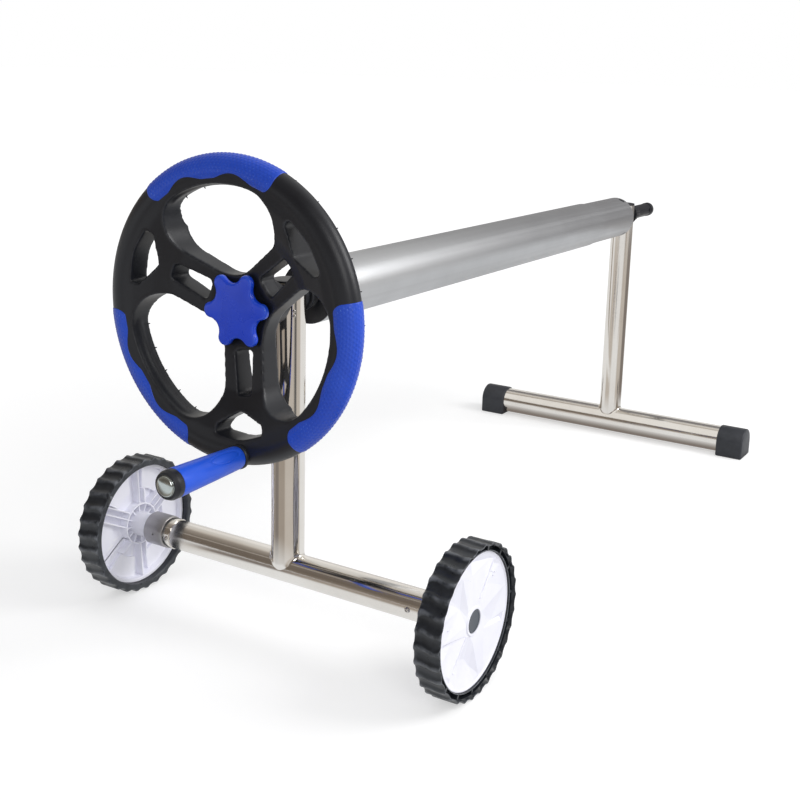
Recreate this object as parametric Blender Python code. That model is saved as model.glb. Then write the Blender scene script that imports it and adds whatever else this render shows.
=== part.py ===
"""Pool cover reel: a telescopic aluminium roller between two steel T stands.

The drive stand runs on two wheels and carries the hand wheel with its crank grip
and clamping star knob. The idler stand rests on two rubber feet.
X runs across the stands, Y along the roller from the hand wheel to the idler
stand, Z up. The floor is z = 0 and the origin is the middle of the footprint.
"""

import math

import bmesh
import bpy
from mathutils import Matrix, Vector

for old in list(bpy.data.objects):
    bpy.data.objects.remove(old, do_unlink=True)

mm = 0.001

# Clearances between neighbouring solids
seat_gap = 0.3 * mm
running_gap = 0.35 * mm

# Roller and its height over the floor
roller_height = 526 * mm
outer_tube_radius = 46 * mm
roller_wall = 1.3 * mm
telescope_gap = 0.4 * mm
outer_tube_length = 1004 * mm
inner_tube_length = 950 * mm
inner_tube_showing = 188 * mm
end_gap = 48 * mm
plug_depth = 42 * mm
plug_flange = 3.5 * mm
plug_screw_inset = 20 * mm
plug_screw_radius = 3.6 * mm
plug_screw_height = 1.9 * mm
shaft_radius = 15 * mm

# Uprights and cross bars of the two stands
upright_radius = 25 * mm
stand_wall = 1.5 * mm
upright_above_roller = 25 * mm
cap_thickness = 3 * mm
cap_spigot = 3.5 * mm
weld_flare = 2.2 * mm
weld_height = 8 * mm
drive_bar_radius = 23.5 * mm
drive_bar_left = 225 * mm
drive_bar_right = 250 * mm
idler_bar_radius = 29.5 * mm
idler_bar_half = 329 * mm

# Bearings in the uprights
bush_radius = 19.7 * mm
bush_flange_radius = 24 * mm
bush_flange = 5 * mm
bush_inner_gap = 2 * mm
cone_length = 14 * mm
cone_tip_radius = 18 * mm
bush_screw_angle = -35
bush_screw_drop = 15 * mm
bush_screw_pitch = 7 * mm
bush_screw_radius = 2.4 * mm
bush_screw_height = 1.4 * mm

# Wheels and axles
lug_count = 30
wheel_radius = 112.6 * mm
lug_height = 3.2 * mm
tyre_seat_radius = 97.3 * mm
tyre_inner_wall = 3.2 * mm
tyre_outer_wall = 5 * mm
tyre_inner_face = 288 * mm
tyre_outer_face = 329.5 * mm
pocket_count = 15
pocket_depth = 14 * mm
pocket_rib = 3.6 * mm
pocket_phase = 3.4
disc_inner_lip = 296.5 * mm
disc_outer_lip = 321.5 * mm
disc_face = 317.5 * mm
disc_web = 3.5 * mm
disc_rim = 5.8 * mm
hub_radius = 20 * mm
hub_inner_face = 271 * mm
hub_ring_radius = 32.5 * mm
hub_ring_wall = 2.5 * mm
blade_count = 6
blade_phase = 49
rib_thickness = 2.2 * mm
rib_spacing = 14 * mm
rib_phase = 37
axle_radius = 8 * mm
axle_end = 315.5 * mm
axle_root = 235 * mm
clip_radius = 12 * mm
clip_face = 311 * mm
clip_thickness = 2 * mm
hub_cap_radius = 17 * mm
hub_cap_face = 320.5 * mm
hub_cap_thickness = 3.5 * mm
sleeve_radius = 26 * mm
sleeve_plug = 30 * mm
bar_screw_inset = 6 * mm
bar_rivet_inset = 24 * mm
bar_screw_radius = 4.5 * mm
bar_screw_height = 2.6 * mm

# Hand wheel
wheel_turn = 8
hand_radius = 212 * mm
rim_half_width = 21 * mm
rim_half_depth = 18 * mm
rim_forward = 129.5 * mm
hub_forward = 108 * mm
hub_back = 36 * mm
hub_wall = 6 * mm
hub_boss_radius = 34 * mm
web_depth = 26 * mm
spoke_half_width = 34 * mm
opening_corner = 44.5 * mm
opening_root = 54.5 * mm
opening_outer = 172.5 * mm
slot_start = 56 * mm
slot_end = 117 * mm
slot_half_inner = 15.5 * mm
slot_half_outer = 11.5 * mm
window_start = 136.5 * mm
window_shoulder = 158.5 * mm
window_end = 171.5 * mm
window_half_angle = 14
grip_half_angle = 33
grip_inner_radius = 183 * mm
grip_wave = 5 * mm
grip_proud = 1.2 * mm
grip_thickness = 4.2 * mm

# Crank grip
crank_radius = 196 * mm
spindle_radius = 5 * mm
nut_radius = 9.5 * mm
nut_height = 8 * mm
collar_length = 3.5 * mm
sleeve_inner_radius = 15.7 * mm
sleeve_outer_radius = 20 * mm
sleeve_length = 124.5 * mm
ring_radius = 19 * mm
ring_length = 15 * mm
dome_radius = 14.5 * mm
dome_height = 6 * mm

# Star knob
knob_lobes = 6
knob_tip_radius = 54.5 * mm
knob_valley_radius = 37.5 * mm
knob_thickness = 23.5 * mm
knob_phase = 7
stud_radius = 5 * mm
stud_reach = 26 * mm
washer_radius = 21 * mm
washer_thickness = 2 * mm
insert_radius = 8 * mm

# Idler shaft end
idler_shaft_reach = 160 * mm
crown_start = 40 * mm
crown_length = 24 * mm
crown_radius = 18 * mm
end_collar_length = 15 * mm
end_collar_radius = 16 * mm
button_radius = 7 * mm
button_setback = 13 * mm
button_angles = (66, -54, 186)

# Rubber feet of the idler stand
foot_wall = 3 * mm
foot_sole = 3 * mm
foot_length = 60 * mm
foot_bevel = 5 * mm

# Sizes that follow from the ones above
lug_angle = math.radians(360 / lug_count)
axle_height = wheel_radius * math.cos(lug_angle / 2)
idler_bar_height = foot_sole + idler_bar_radius
foot_end = idler_bar_half + foot_wall + seat_gap
foot_start = foot_end - foot_length
roller_length = outer_tube_length + inner_tube_showing
stand_spacing = roller_length + 2 * end_gap
inner_tube_radius = outer_tube_radius - roller_wall - telescope_gap
tyre_width = tyre_outer_face - tyre_inner_face
rim_centre = hand_radius - rim_half_width
rim_front = rim_forward + rim_half_depth
rim_back = rim_forward - rim_half_depth
sleeve_start = rim_front + collar_length + 2 * seat_gap
ring_start = sleeve_start + sleeve_length + seat_gap
dome_tip = ring_start + ring_length + dome_height
front_reach = dome_tip
rear_reach = stand_spacing + idler_shaft_reach
drive_y = -(rear_reach - front_reach) / 2
idler_y = drive_y + stand_spacing
crank_angle = math.radians(wheel_turn - 90)
crank_x = crank_radius * math.cos(crank_angle)
crank_z = roller_height + crank_radius * math.sin(crank_angle)


# Materials
def material(name, colour, roughness, metallic=0.0):
    made = bpy.data.materials.new(name)
    made.use_nodes = True
    shader = made.node_tree.nodes["Principled BSDF"]
    shader.inputs["Base Color"].default_value = (*colour, 1.0)
    shader.inputs["Roughness"].default_value = roughness
    shader.inputs["Metallic"].default_value = metallic
    return made


polished_steel = material("polished_steel", (0.62, 0.58, 0.54), 0.15, 1.0)
satin_aluminium = material("satin_aluminium", (0.42, 0.42, 0.43), 0.38, 1.0)
chrome = material("chrome", (0.8, 0.8, 0.82), 0.06, 1.0)
brass = material("brass", (0.72, 0.52, 0.2), 0.3, 1.0)
black_plastic = material("black_plastic", (0.022, 0.022, 0.026), 0.42)
blue_grip = material("blue_grip", (0.015, 0.06, 0.42), 0.55)
blue_plastic = material("blue_plastic", (0.012, 0.07, 0.6), 0.3)
white_plastic = material("white_plastic", (0.78, 0.78, 0.86), 0.4)
tyre_rubber = material("tyre_rubber", (0.022, 0.027, 0.035), 0.6)
foot_rubber = material("foot_rubber", (0.03, 0.033, 0.042), 0.6)
grey_plastic = material("grey_plastic", (0.36, 0.36, 0.39), 0.35)
dark_grey_plastic = material("dark_grey_plastic", (0.07, 0.08, 0.1), 0.4)


# Making and placing solids
def finish(name, shape, finish_material, smooth=True):
    """Turn a bmesh into a named object with its material."""
    bmesh.ops.remove_doubles(shape, verts=shape.verts, dist=1e-7)
    bmesh.ops.recalc_face_normals(shape, faces=shape.faces)
    mesh = bpy.data.meshes.new(name)
    shape.to_mesh(mesh)
    shape.free()
    if smooth:
        mesh.shade_smooth()
        mesh.set_sharp_from_angle(angle=math.radians(32))
    made = bpy.data.objects.new(name, mesh)
    bpy.context.scene.collection.objects.link(made)
    if finish_material:
        mesh.materials.append(finish_material)
    return made


def turned(name, profile, finish_material, steps=20, start=0.0, closed=True):
    """Spin a profile of (radius, height) points about local Z."""
    shape = bmesh.new()
    turn = Matrix.Rotation(start, 3, "Z")
    points = [shape.verts.new(turn @ Vector((radius, 0, height))) for radius, height in profile]
    ends = zip(points, points[1:] + points[:1]) if closed else zip(points, points[1:])
    edges = [shape.edges.new(pair) for pair in ends]
    bmesh.ops.spin(
        shape,
        geom=points + edges,
        cent=(0, 0, 0),
        axis=(0, 0, 1),
        angle=math.tau,
        steps=steps,
        use_merge=True,
    )
    return finish(name, shape, finish_material)


def prism(name, outline, low, high, finish_material=None):
    """Extrude a flat outline of (x, y) points from local z = low to high."""
    shape = bmesh.new()
    floor = [shape.verts.new((x, y, low)) for x, y in outline]
    face = shape.faces.new(floor)
    wall = bmesh.ops.extrude_face_region(shape, geom=[face])["geom"]
    top = [part for part in wall if isinstance(part, bmesh.types.BMVert)]
    bmesh.ops.translate(shape, vec=(0, 0, high - low), verts=top)
    return finish(name, shape, finish_material, smooth=False)


def block(name, centre, size, finish_material=None, turn=0.0):
    """A box about centre, turned about local Z round the origin."""
    shape = bmesh.new()
    bmesh.ops.create_cube(shape, size=1.0)
    bmesh.ops.scale(shape, vec=size, verts=shape.verts)
    bmesh.ops.translate(shape, vec=centre, verts=shape.verts)
    bmesh.ops.rotate(shape, cent=(0, 0, 0), matrix=Matrix.Rotation(turn, 3, "Z"), verts=shape.verts)
    return finish(name, shape, finish_material, smooth=False)


def joined(name, pieces, finish_material=None):
    """Gather solids that don't touch into one object, as separate bodies."""
    shape = bmesh.new()
    for piece in pieces:
        mesh = piece.data.copy()
        mesh.transform(piece.matrix_basis)
        shape.from_mesh(mesh)
        bpy.data.objects.remove(piece, do_unlink=True)
    mesh = bpy.data.meshes.new(name)
    shape.to_mesh(mesh)
    shape.free()
    made = bpy.data.objects.new(name, mesh)
    bpy.context.scene.collection.objects.link(made)
    if finish_material:
        mesh.materials.clear()
        mesh.materials.append(finish_material)
    return made


def cutter(tool):
    """Hide a solid that only shapes another one."""
    tool.hide_render = True
    tool.display_type = "WIRE"
    return tool


def combine(target, tool, operation):
    change = target.modifiers.new(f"{operation}_{tool.name}".lower(), "BOOLEAN")
    change.operation = operation
    change.object = cutter(tool)
    change.solver = "EXACT"


def cut(target, *tools):
    for tool in tools:
        combine(target, tool, "DIFFERENCE")


def fuse(target, *tools):
    for tool in tools:
        combine(target, tool, "UNION")


facing = {
    "front": (math.pi / 2, 0, 0),
    "back": (-math.pi / 2, 0, 0),
    "right": (0, math.pi / 2, 0),
    "left": (0, -math.pi / 2, 0),
    "up": (0, 0, 0),
}


def place(piece, location, direction="up", turn=0.0):
    """Point local Z in a direction, after a turn about local Z."""
    aim = Matrix.Identity(4)
    x, y, z = facing[direction]
    for angle, axis in ((x, "X"), (y, "Y"), (z, "Z")):
        aim = Matrix.Rotation(angle, 4, axis) @ aim
    piece.matrix_basis = Matrix.Translation(location) @ aim @ Matrix.Rotation(turn, 4, "Z")
    return piece


def rounded(corners, steps=4):
    """Points of a polygon given as (x, y, corner radius)."""
    points = []
    count = len(corners)
    for index, (x, y, radius) in enumerate(corners):
        here = Vector((x, y))
        before = Vector(corners[index - 1][:2]) - here
        after = Vector(corners[(index + 1) % count][:2]) - here
        half = before.angle(after) / 2
        reach = radius / math.tan(half)
        middle = here + (before.normalized() + after.normalized()).normalized() * radius / math.sin(half)
        first = here + before.normalized() * reach - middle
        sweep = -first.angle_signed(here + after.normalized() * reach - middle)
        for step in range(steps + 1):
            points.append(middle + Matrix.Rotation(sweep * step / steps, 2) @ first)
    return [(point.x, point.y) for point in points]


def polar(radius, degrees):
    angle = math.radians(degrees)
    return radius * math.cos(angle), radius * math.sin(angle)


# Stands
def tube(name, radius, wall, low, high, finish_material, steps=24):
    inner = radius - wall
    profile = [(radius, low), (radius, high), (inner, high), (inner, low)]
    return turned(name, profile, finish_material, steps)


def upright(name, place_y, bar_radius, bar_height):
    """A tube cut to sit on its cross bar, flared by the weld, with bearing holes."""
    low = bar_height + bar_radius * 0.3
    crest = bar_height + bar_radius
    high = roller_height + upright_above_roller
    inner = upright_radius - stand_wall
    profile = [
        (upright_radius + weld_flare, low),
        (upright_radius + weld_flare, crest + weld_height * 0.25),
        (upright_radius + weld_flare * 0.35, crest + weld_height * 0.55),
        (upright_radius, crest + weld_height),
        (upright_radius, high),
        (inner, high),
        (inner, low),
    ]
    post = place(turned(name, profile, polished_steel), (0, place_y, 0))
    reach = 3 * upright_radius
    saddle_profile = [(0, -reach), (bar_radius + seat_gap, -reach), (bar_radius + seat_gap, reach), (0, reach)]
    saddle = turned(f"{name}_saddle", saddle_profile, None, 24, closed=False)
    place(saddle, (0, place_y, bar_height), "right")
    hole_radius = bush_radius + seat_gap
    hole_profile = [(0, -reach), (hole_radius, -reach), (hole_radius, reach), (0, reach)]
    hole = turned(f"{name}_hole", hole_profile, None, closed=False)
    place(hole, (0, place_y, roller_height), "front")
    cut(post, saddle, hole)
    return post


def upright_cap(name, place_y):
    """A plastic cap with a rounded edge and a spigot inside the tube."""
    spigot = upright_radius - stand_wall - seat_gap
    profile = [
        (0, -cap_spigot),
        (spigot, -cap_spigot),
        (spigot, seat_gap),
        (upright_radius, seat_gap),
        (upright_radius, cap_thickness * 0.5),
        (upright_radius * 0.93, cap_thickness),
        (0, cap_thickness),
    ]
    cap = turned(name, profile, black_plastic, closed=False)
    return place(cap, (0, place_y, roller_height + upright_above_roller))


def bush(name, place_y, direction, cone=False):
    """A flanged bush pressed into one side of an upright."""
    bore = shaft_radius + running_gap
    face = upright_radius + seat_gap
    profile = [
        (bore, bush_inner_gap),
        (bush_radius, bush_inner_gap),
        (bush_radius, face),
        (bush_flange_radius, face),
        (bush_flange_radius, face + bush_flange * 0.6),
        (bush_flange_radius * 0.95, face + bush_flange),
    ]
    if cone:
        profile += [(cone_tip_radius, face + cone_length), (bore, face + cone_length)]
    else:
        profile += [(bore, face + bush_flange)]
    return place(turned(name, profile, black_plastic), (0, place_y, roller_height), direction)


def fastener(name, base, outward, radius, height, finish_material=polished_steel):
    """A low round head that sits on a surface at base and faces outward."""
    profile = [
        (0, seat_gap),
        (radius, seat_gap),
        (radius * 0.92, height * 0.6),
        (radius * 0.55, height),
        (0, height),
    ]
    head = turned(name, profile, finish_material, 12, closed=False)
    aim = Vector(outward).to_track_quat("Z", "Y").to_matrix().to_4x4()
    head.matrix_basis = Matrix.Translation(base) @ aim
    return head


def bush_screws(name, place_y):
    x, y = polar(upright_radius, bush_screw_angle)
    for label, drop in (("upper", bush_screw_drop), ("lower", bush_screw_drop + bush_screw_pitch)):
        base = (x, place_y + y, roller_height - drop)
        fastener(f"{name}_{label}", base, (x, y, 0), bush_screw_radius, bush_screw_height)


upright("drive_upright", drive_y, drive_bar_radius, axle_height)
upright_cap("drive_upright_cap", drive_y)
bush("drive_bush_front", drive_y, "front")
bush("drive_bush_back", drive_y, "back")
bush_screws("drive_bush_screw", drive_y)
upright("idler_upright", idler_y, idler_bar_radius, idler_bar_height)
upright_cap("idler_upright_cap", idler_y)
bush("idler_bush_front", idler_y, "front")
bush("idler_bush_back", idler_y, "back", cone=True)
bush_screws("idler_bush_screw", idler_y)

drive_bar = tube("drive_cross_tube", drive_bar_radius, stand_wall, -drive_bar_left, drive_bar_right, polished_steel)
place(drive_bar, (0, drive_y, axle_height), "right")
idler_bar = tube("idler_cross_tube", idler_bar_radius, stand_wall, -idler_bar_half, idler_bar_half, polished_steel)
place(idler_bar, (0, idler_y, idler_bar_height), "right")


def axle_sleeve(name, direction, bar_end):
    """A grey sleeve that plugs into the bar's end and carries the axle."""
    spigot = drive_bar_radius - stand_wall - seat_gap
    bore = axle_radius + seat_gap
    shoulder = bar_end + seat_gap
    end = hub_inner_face - running_gap
    profile = [
        (bore, bar_end - sleeve_plug),
        (spigot, bar_end - sleeve_plug),
        (spigot, shoulder),
        (sleeve_radius, shoulder),
        (sleeve_radius, end - 1.5 * mm),
        (sleeve_radius - 1.5 * mm, end),
        (bore, end),
    ]
    return place(turned(name, profile, grey_plastic), (0, drive_y, axle_height), direction)


def axle(name, direction):
    """A steel stub axle with a head inside and a groove end outside."""
    head = axle_root
    profile = [
        (0, head),
        (axle_radius, head),
        (axle_radius, axle_end - 1 * mm),
        (axle_radius - 1 * mm, axle_end),
        (0, axle_end),
    ]
    return place(turned(name, profile, polished_steel, closed=False), (0, drive_y, axle_height), direction)


def axle_clip(name, direction):
    """The push-on clip that keeps a wheel on its axle."""
    bore = axle_radius + seat_gap
    profile = [
        (bore, clip_face),
        (clip_radius, clip_face),
        (clip_radius, clip_face + clip_thickness * 0.5),
        (bore, clip_face + clip_thickness),
    ]
    return place(turned(name, profile, polished_steel), (0, drive_y, axle_height), direction)


for side, bar_end in (("left", drive_bar_left), ("right", drive_bar_right)):
    axle_sleeve(f"axle_sleeve_{side}", side, bar_end)
    axle(f"axle_{side}", side)
    axle_clip(f"axle_clip_{side}", side)

bar_front = drive_y - drive_bar_radius
bar_screw_left = -drive_bar_left + bar_screw_inset
fastener("bar_screw_left", (bar_screw_left, bar_front, axle_height), (0, -1, 0), bar_screw_radius, bar_screw_height)
bar_screw_right = drive_bar_right - bar_rivet_inset
fastener("bar_rivet_right", (bar_screw_right, bar_front, axle_height), (0, -1, 0), bar_screw_radius, bar_screw_height)


def foot(name, direction):
    """An arch-shaped rubber foot with a flat sole, closed at the bar's end."""
    half = idler_bar_radius + foot_wall
    outline = [(idler_bar_height, -half), (idler_bar_height, half)]
    for step in range(1, 12):
        angle = math.pi / 2 - math.pi * step / 12
        outline.append((-half * math.cos(angle), half * math.sin(angle)))
    sign = 1 if direction == "right" else -1
    outline = [(x * sign, y) for x, y in outline]
    cap = place(prism(name, outline, foot_start, foot_end, foot_rubber), (0, idler_y, idler_bar_height), direction)
    edge = cap.modifiers.new("soft_edges", "BEVEL")
    edge.width = foot_bevel * 0.4
    edge.segments = 1
    edge.limit_method = "ANGLE"
    edge.angle_limit = math.radians(50)
    socket = idler_bar_radius + seat_gap
    profile = [(0, 0), (socket, 0), (socket, idler_bar_half + seat_gap), (0, idler_bar_half + seat_gap)]
    cut(cap, place(turned(f"{name}_socket", profile, None, 24, closed=False), (0, idler_y, idler_bar_height), direction))
    return cap


foot("foot_left", "left")
foot("foot_right", "right")


# Wheels
def tyre(name, direction):
    """A rubber tyre with rounded cross lugs and open pockets on its outer side."""
    shoulder = 3 * mm
    tread = wheel_radius - lug_height / 2
    profile = [
        (tyre_seat_radius, tyre_inner_face),
        (tread - shoulder, tyre_inner_face),
        (tread, tyre_inner_face + shoulder),
        (tread, tyre_outer_face - shoulder),
        (tread - shoulder, tyre_outer_face),
        (tyre_seat_radius, tyre_outer_face),
    ]
    ring = turned(name, profile, tyre_rubber, 2 * lug_count, start=math.pi / 2)
    for vertex in ring.data.vertices:
        radius = math.hypot(vertex.co.x, vertex.co.y)
        if radius > tread - shoulder - seat_gap:
            angle = math.atan2(vertex.co.y, vertex.co.x) - math.pi / 2
            swell = lug_height / 2 * math.cos(lug_count * angle)
            vertex.co.x *= (radius + swell) / radius
            vertex.co.y *= (radius + swell) / radius
    low = tyre_seat_radius + tyre_inner_wall
    high = wheel_radius - lug_height - tyre_outer_wall + 1.2 * mm
    share = 360 / pocket_count
    rib = math.degrees(pocket_rib / low)
    pockets = []
    for index in range(pocket_count):
        start = 90 + pocket_phase + index * share + rib / 2
        angles = [start + (share - rib) * step / 2 for step in range(3)]
        outline = [polar(low, angle) for angle in angles]
        outline += [polar(high, angle) for angle in reversed(angles)]
        pockets.append(prism(f"{name}_pocket_{index}", outline, tyre_outer_face - pocket_depth, tyre_outer_face + 1 * mm))
    spot = (0, drive_y, axle_height)
    cut(ring, place(joined(f"{name}_pockets", pockets), spot, direction))
    return place(ring, spot, direction)


def wheel_disc(name, direction):
    """A white wheel: hub, ribbed web and rim, with a six-blade relief outside."""
    web_back = disc_face - disc_web
    ring_inner = hub_ring_radius - hub_ring_wall
    edge = tyre_seat_radius - seat_gap
    rim_inner = edge - disc_rim
    bore = axle_radius + running_gap
    nest = hub_cap_radius + seat_gap
    well = clip_radius + 1 * mm
    hub_face = hub_cap_face + 0.6 * mm
    profile = [
        (bore, hub_inner_face),
        (hub_radius, hub_inner_face),
        (hub_radius, web_back),
        (ring_inner, web_back),
        (ring_inner, disc_inner_lip),
        (hub_ring_radius, disc_inner_lip),
        (hub_ring_radius, web_back),
        (rim_inner, web_back),
        (rim_inner, disc_inner_lip),
        (edge, disc_inner_lip),
        (edge, disc_outer_lip),
        (edge - 4 * mm, disc_face),
        (hub_radius, disc_face),
        (hub_radius, hub_face),
        (nest, hub_face),
        (nest, hub_cap_face - hub_cap_thickness - seat_gap),
        (well, hub_cap_face - hub_cap_thickness - seat_gap),
        (well, clip_face - seat_gap),
        (bore, clip_face - seat_gap),
    ]
    disc = turned(name, profile, white_plastic, 30)
    ribs = []
    rib_low = disc_inner_lip + 1.5 * mm
    rib_middle = (rib_low + web_back + 1 * mm) / 2
    rib_height = web_back + 1 * mm - rib_low
    long_start = hub_ring_radius - 1 * mm
    long_end = rim_inner + 1 * mm
    short_start = hub_radius - 1 * mm
    short_end = ring_inner + 1 * mm
    for index in range(blade_count):
        turn = math.radians(rib_phase + 360 * index / blade_count)
        for shift in (-rib_spacing / 2, rib_spacing / 2):
            centre = ((long_start + long_end) / 2, shift, rib_middle)
            size = (long_end - long_start, rib_thickness, rib_height)
            ribs.append(block(f"{name}_rib_{index}_{shift > 0}", centre, size, turn=turn))
        centre = ((short_start + short_end) / 2, 0, rib_middle)
        size = (short_end - short_start, rib_thickness, rib_height)
        ribs.append(block(f"{name}_short_rib_{index}", centre, size, turn=turn))
    wedges = []
    for index in range(blade_count):
        turn = blade_phase + 360 * index / blade_count + 90
        wedges.append(blade_wedge(f"{name}_wedge_{index}", turn))
    spot = (0, drive_y, axle_height)
    fuse(disc, place(joined(f"{name}_ribs", ribs), spot, direction))
    cut(disc, place(joined(f"{name}_wedges", wedges), spot, direction))
    return place(disc, spot, direction)


def blade_wedge(name, turn):
    """A three-sided pocket that is deep along one radial edge and runs out to nothing."""
    depth = 2.4 * mm
    inner, outer = 34 * mm, 86 * mm
    sweep = 27
    shape = bmesh.new()
    corners = [polar(inner, turn), polar(outer, turn), polar(outer, turn - sweep)]
    base = [shape.verts.new((x, y, disc_face - depth * deep)) for (x, y), deep in zip(corners, (1, 1, 0))]
    lid = [shape.verts.new((x, y, disc_face + 1 * mm)) for x, y in corners]
    shape.faces.new(base)
    shape.faces.new(lid)
    for index in range(3):
        after = (index + 1) % 3
        shape.faces.new((base[index], base[after], lid[after], lid[index]))
    return finish(name, shape, None, smooth=False)


def hub_cap(name, direction):
    """The dark cap pressed into the hub over the axle's end."""
    back = hub_cap_face - hub_cap_thickness
    well = clip_radius + 1 * mm - seat_gap
    profile = [
        (0, hub_cap_face - 1.5 * mm),
        (well - 2 * mm, hub_cap_face - 1.5 * mm),
        (well - 2 * mm, back),
        (hub_cap_radius, back),
        (hub_cap_radius, hub_cap_face - 1 * mm),
        (hub_cap_radius - 2 * mm, hub_cap_face),
        (0, hub_cap_face),
    ]
    return place(turned(name, profile, dark_grey_plastic, closed=False), (0, drive_y, axle_height), direction)


for side in ("left", "right"):
    tyre(f"tyre_{side}", side)
    wheel_disc(f"wheel_disc_{side}", side)
    hub_cap(f"hub_cap_{side}", side)


# Roller
roller_start = drive_y + end_gap
roller_end = roller_start + roller_length
outer_tube_end = roller_start + outer_tube_length
on_axis = (0, 0, roller_height)

outer_tube = tube("outer_tube", outer_tube_radius, roller_wall, roller_start, outer_tube_end, satin_aluminium, 32)
place(outer_tube, on_axis, "back")
inner_start = roller_end - inner_tube_length
inner_tube = tube("inner_tube", inner_tube_radius, roller_wall, inner_start, roller_end, satin_aluminium, 32)
place(inner_tube, on_axis, "back")


def button_pegs(name, radius, low, high):
    """Pegs pointing outward at the buttons of the idler plug."""
    pegs = []
    for number, degrees in enumerate(button_angles):
        x, z = polar(1, degrees)
        outline = [(0, low), (radius, low), (radius, high), (0, high)]
        peg = turned(f"{name}_{number}", outline, None, 16, closed=False)
        aim = Vector((x, 0, z)).to_track_quat("Z", "Y").to_matrix().to_4x4()
        peg.matrix_basis = Matrix.Translation((0, roller_end - button_setback, roller_height)) @ aim
        pegs.append(peg)
    return joined(name, pegs)


cut(inner_tube, button_pegs("button_holes", button_radius, inner_tube_radius / 2, inner_tube_radius + button_radius))

plug_radius = outer_tube_radius - roller_wall - seat_gap
shaft_front = drive_y - hub_forward + hub_wall + seat_gap
insert_depth = 25 * mm
drive_plug_profile = [
    (0, shaft_front + insert_depth),
    (insert_radius + seat_gap, shaft_front + insert_depth),
    (insert_radius + seat_gap, shaft_front),
    (shaft_radius, shaft_front),
    (shaft_radius, roller_start - plug_flange - 4 * mm),
    (shaft_radius + 6 * mm, roller_start - plug_flange),
    (outer_tube_radius, roller_start - plug_flange),
    (outer_tube_radius, roller_start - seat_gap),
    (plug_radius, roller_start - seat_gap),
    (plug_radius, roller_start + plug_depth),
    (0, roller_start + plug_depth),
]
place(turned("drive_end_plug", drive_plug_profile, black_plastic, closed=False), on_axis, "back")

insert_profile = [
    (stud_radius + seat_gap, shaft_front + seat_gap),
    (insert_radius, shaft_front + seat_gap),
    (insert_radius, shaft_front + insert_depth - 2 * seat_gap),
    (stud_radius + seat_gap, shaft_front + insert_depth - 2 * seat_gap),
]
place(turned("shaft_insert", insert_profile, brass), on_axis, "back")

for number, degrees in enumerate((90, 210, 330)):
    x, z = polar(outer_tube_radius, degrees)
    base = (x, roller_start + plug_screw_inset, roller_height + z)
    fastener(f"drive_plug_screw_{number + 1}", base, (x, 0, z), plug_screw_radius, plug_screw_height)

idler_plug_radius = inner_tube_radius - roller_wall - seat_gap
shaft_end = idler_y + idler_shaft_reach
idler_plug_profile = [
    (0, roller_end - plug_depth),
    (idler_plug_radius, roller_end - plug_depth),
    (idler_plug_radius, roller_end - 0.5 * mm),
    (shaft_radius + 6 * mm, roller_end - 0.5 * mm),
    (shaft_radius, roller_end + 4 * mm),
    (shaft_radius, shaft_end - end_collar_length),
    (end_collar_radius, shaft_end - end_collar_length),
    (end_collar_radius, shaft_end - 1.5 * mm),
    (end_collar_radius - 1.5 * mm, shaft_end),
    (0, shaft_end),
]
idler_plug = turned("idler_end_plug", idler_plug_profile, black_plastic, closed=False)
flats = []
flat_start = idler_y + crown_start + crown_length + 12 * mm
flat_length = shaft_end - end_collar_length - 8 * mm - flat_start
for sign in (-1, 1):
    centre = (sign * (shaft_radius + 3.5 * mm), 0, flat_start + flat_length / 2)
    flats.append(block(f"shaft_flat_{sign}", centre, (10 * mm, 40 * mm, flat_length)))
cut(idler_plug, place(joined("shaft_flats", flats), on_axis, "back"))
fuse(idler_plug, button_pegs("buttons", button_radius - seat_gap, idler_plug_radius - 6 * mm, inner_tube_radius - seat_gap))
place(idler_plug, on_axis, "back")


def crown_ring():
    """The ribbed ring that keeps the shaft in the idler bearing."""
    bore = shaft_radius + seat_gap
    low = idler_y + crown_start
    high = low + crown_length
    profile = [(bore, low), (crown_radius, low), (crown_radius, high), (bore, high)]
    ring = turned("idler_crown_ring", profile, black_plastic, 40)
    for vertex in ring.data.vertices:
        radius = math.hypot(vertex.co.x, vertex.co.y)
        step = round(math.degrees(math.atan2(vertex.co.y, vertex.co.x)) / 9)
        if radius > bore + 1 * mm and step % 2:
            vertex.co.x *= 1 - 1.2 * mm / radius
            vertex.co.y *= 1 - 1.2 * mm / radius
    return place(ring, on_axis, "back")


crown_ring()

bush_outer = outer_tube_radius - roller_wall - running_gap
telescope_profile = [
    (inner_tube_radius - roller_wall - seat_gap, inner_start + 12 * mm),
    (inner_tube_radius - roller_wall - 5 * mm, inner_start + 12 * mm),
    (inner_tube_radius - roller_wall - 5 * mm, inner_start - 6 * mm),
    (bush_outer, inner_start - 6 * mm),
    (bush_outer, inner_start - seat_gap),
    (inner_tube_radius - roller_wall - seat_gap, inner_start - seat_gap),
]
place(turned("telescope_bush", telescope_profile, black_plastic), on_axis, "back")


# Hand wheel
hand_centre = (0, drive_y, roller_height)
spokes = [wheel_turn - 90 + 120 * index for index in range(3)]
openings = [wheel_turn + 90 + 120 * index for index in range(3)]


def rim_profile():
    points = []
    for step in range(12):
        angle = math.tau * step / 12
        points.append((rim_centre + rim_half_width * math.cos(angle), rim_forward + rim_half_depth * math.sin(angle)))
    return points


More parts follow.
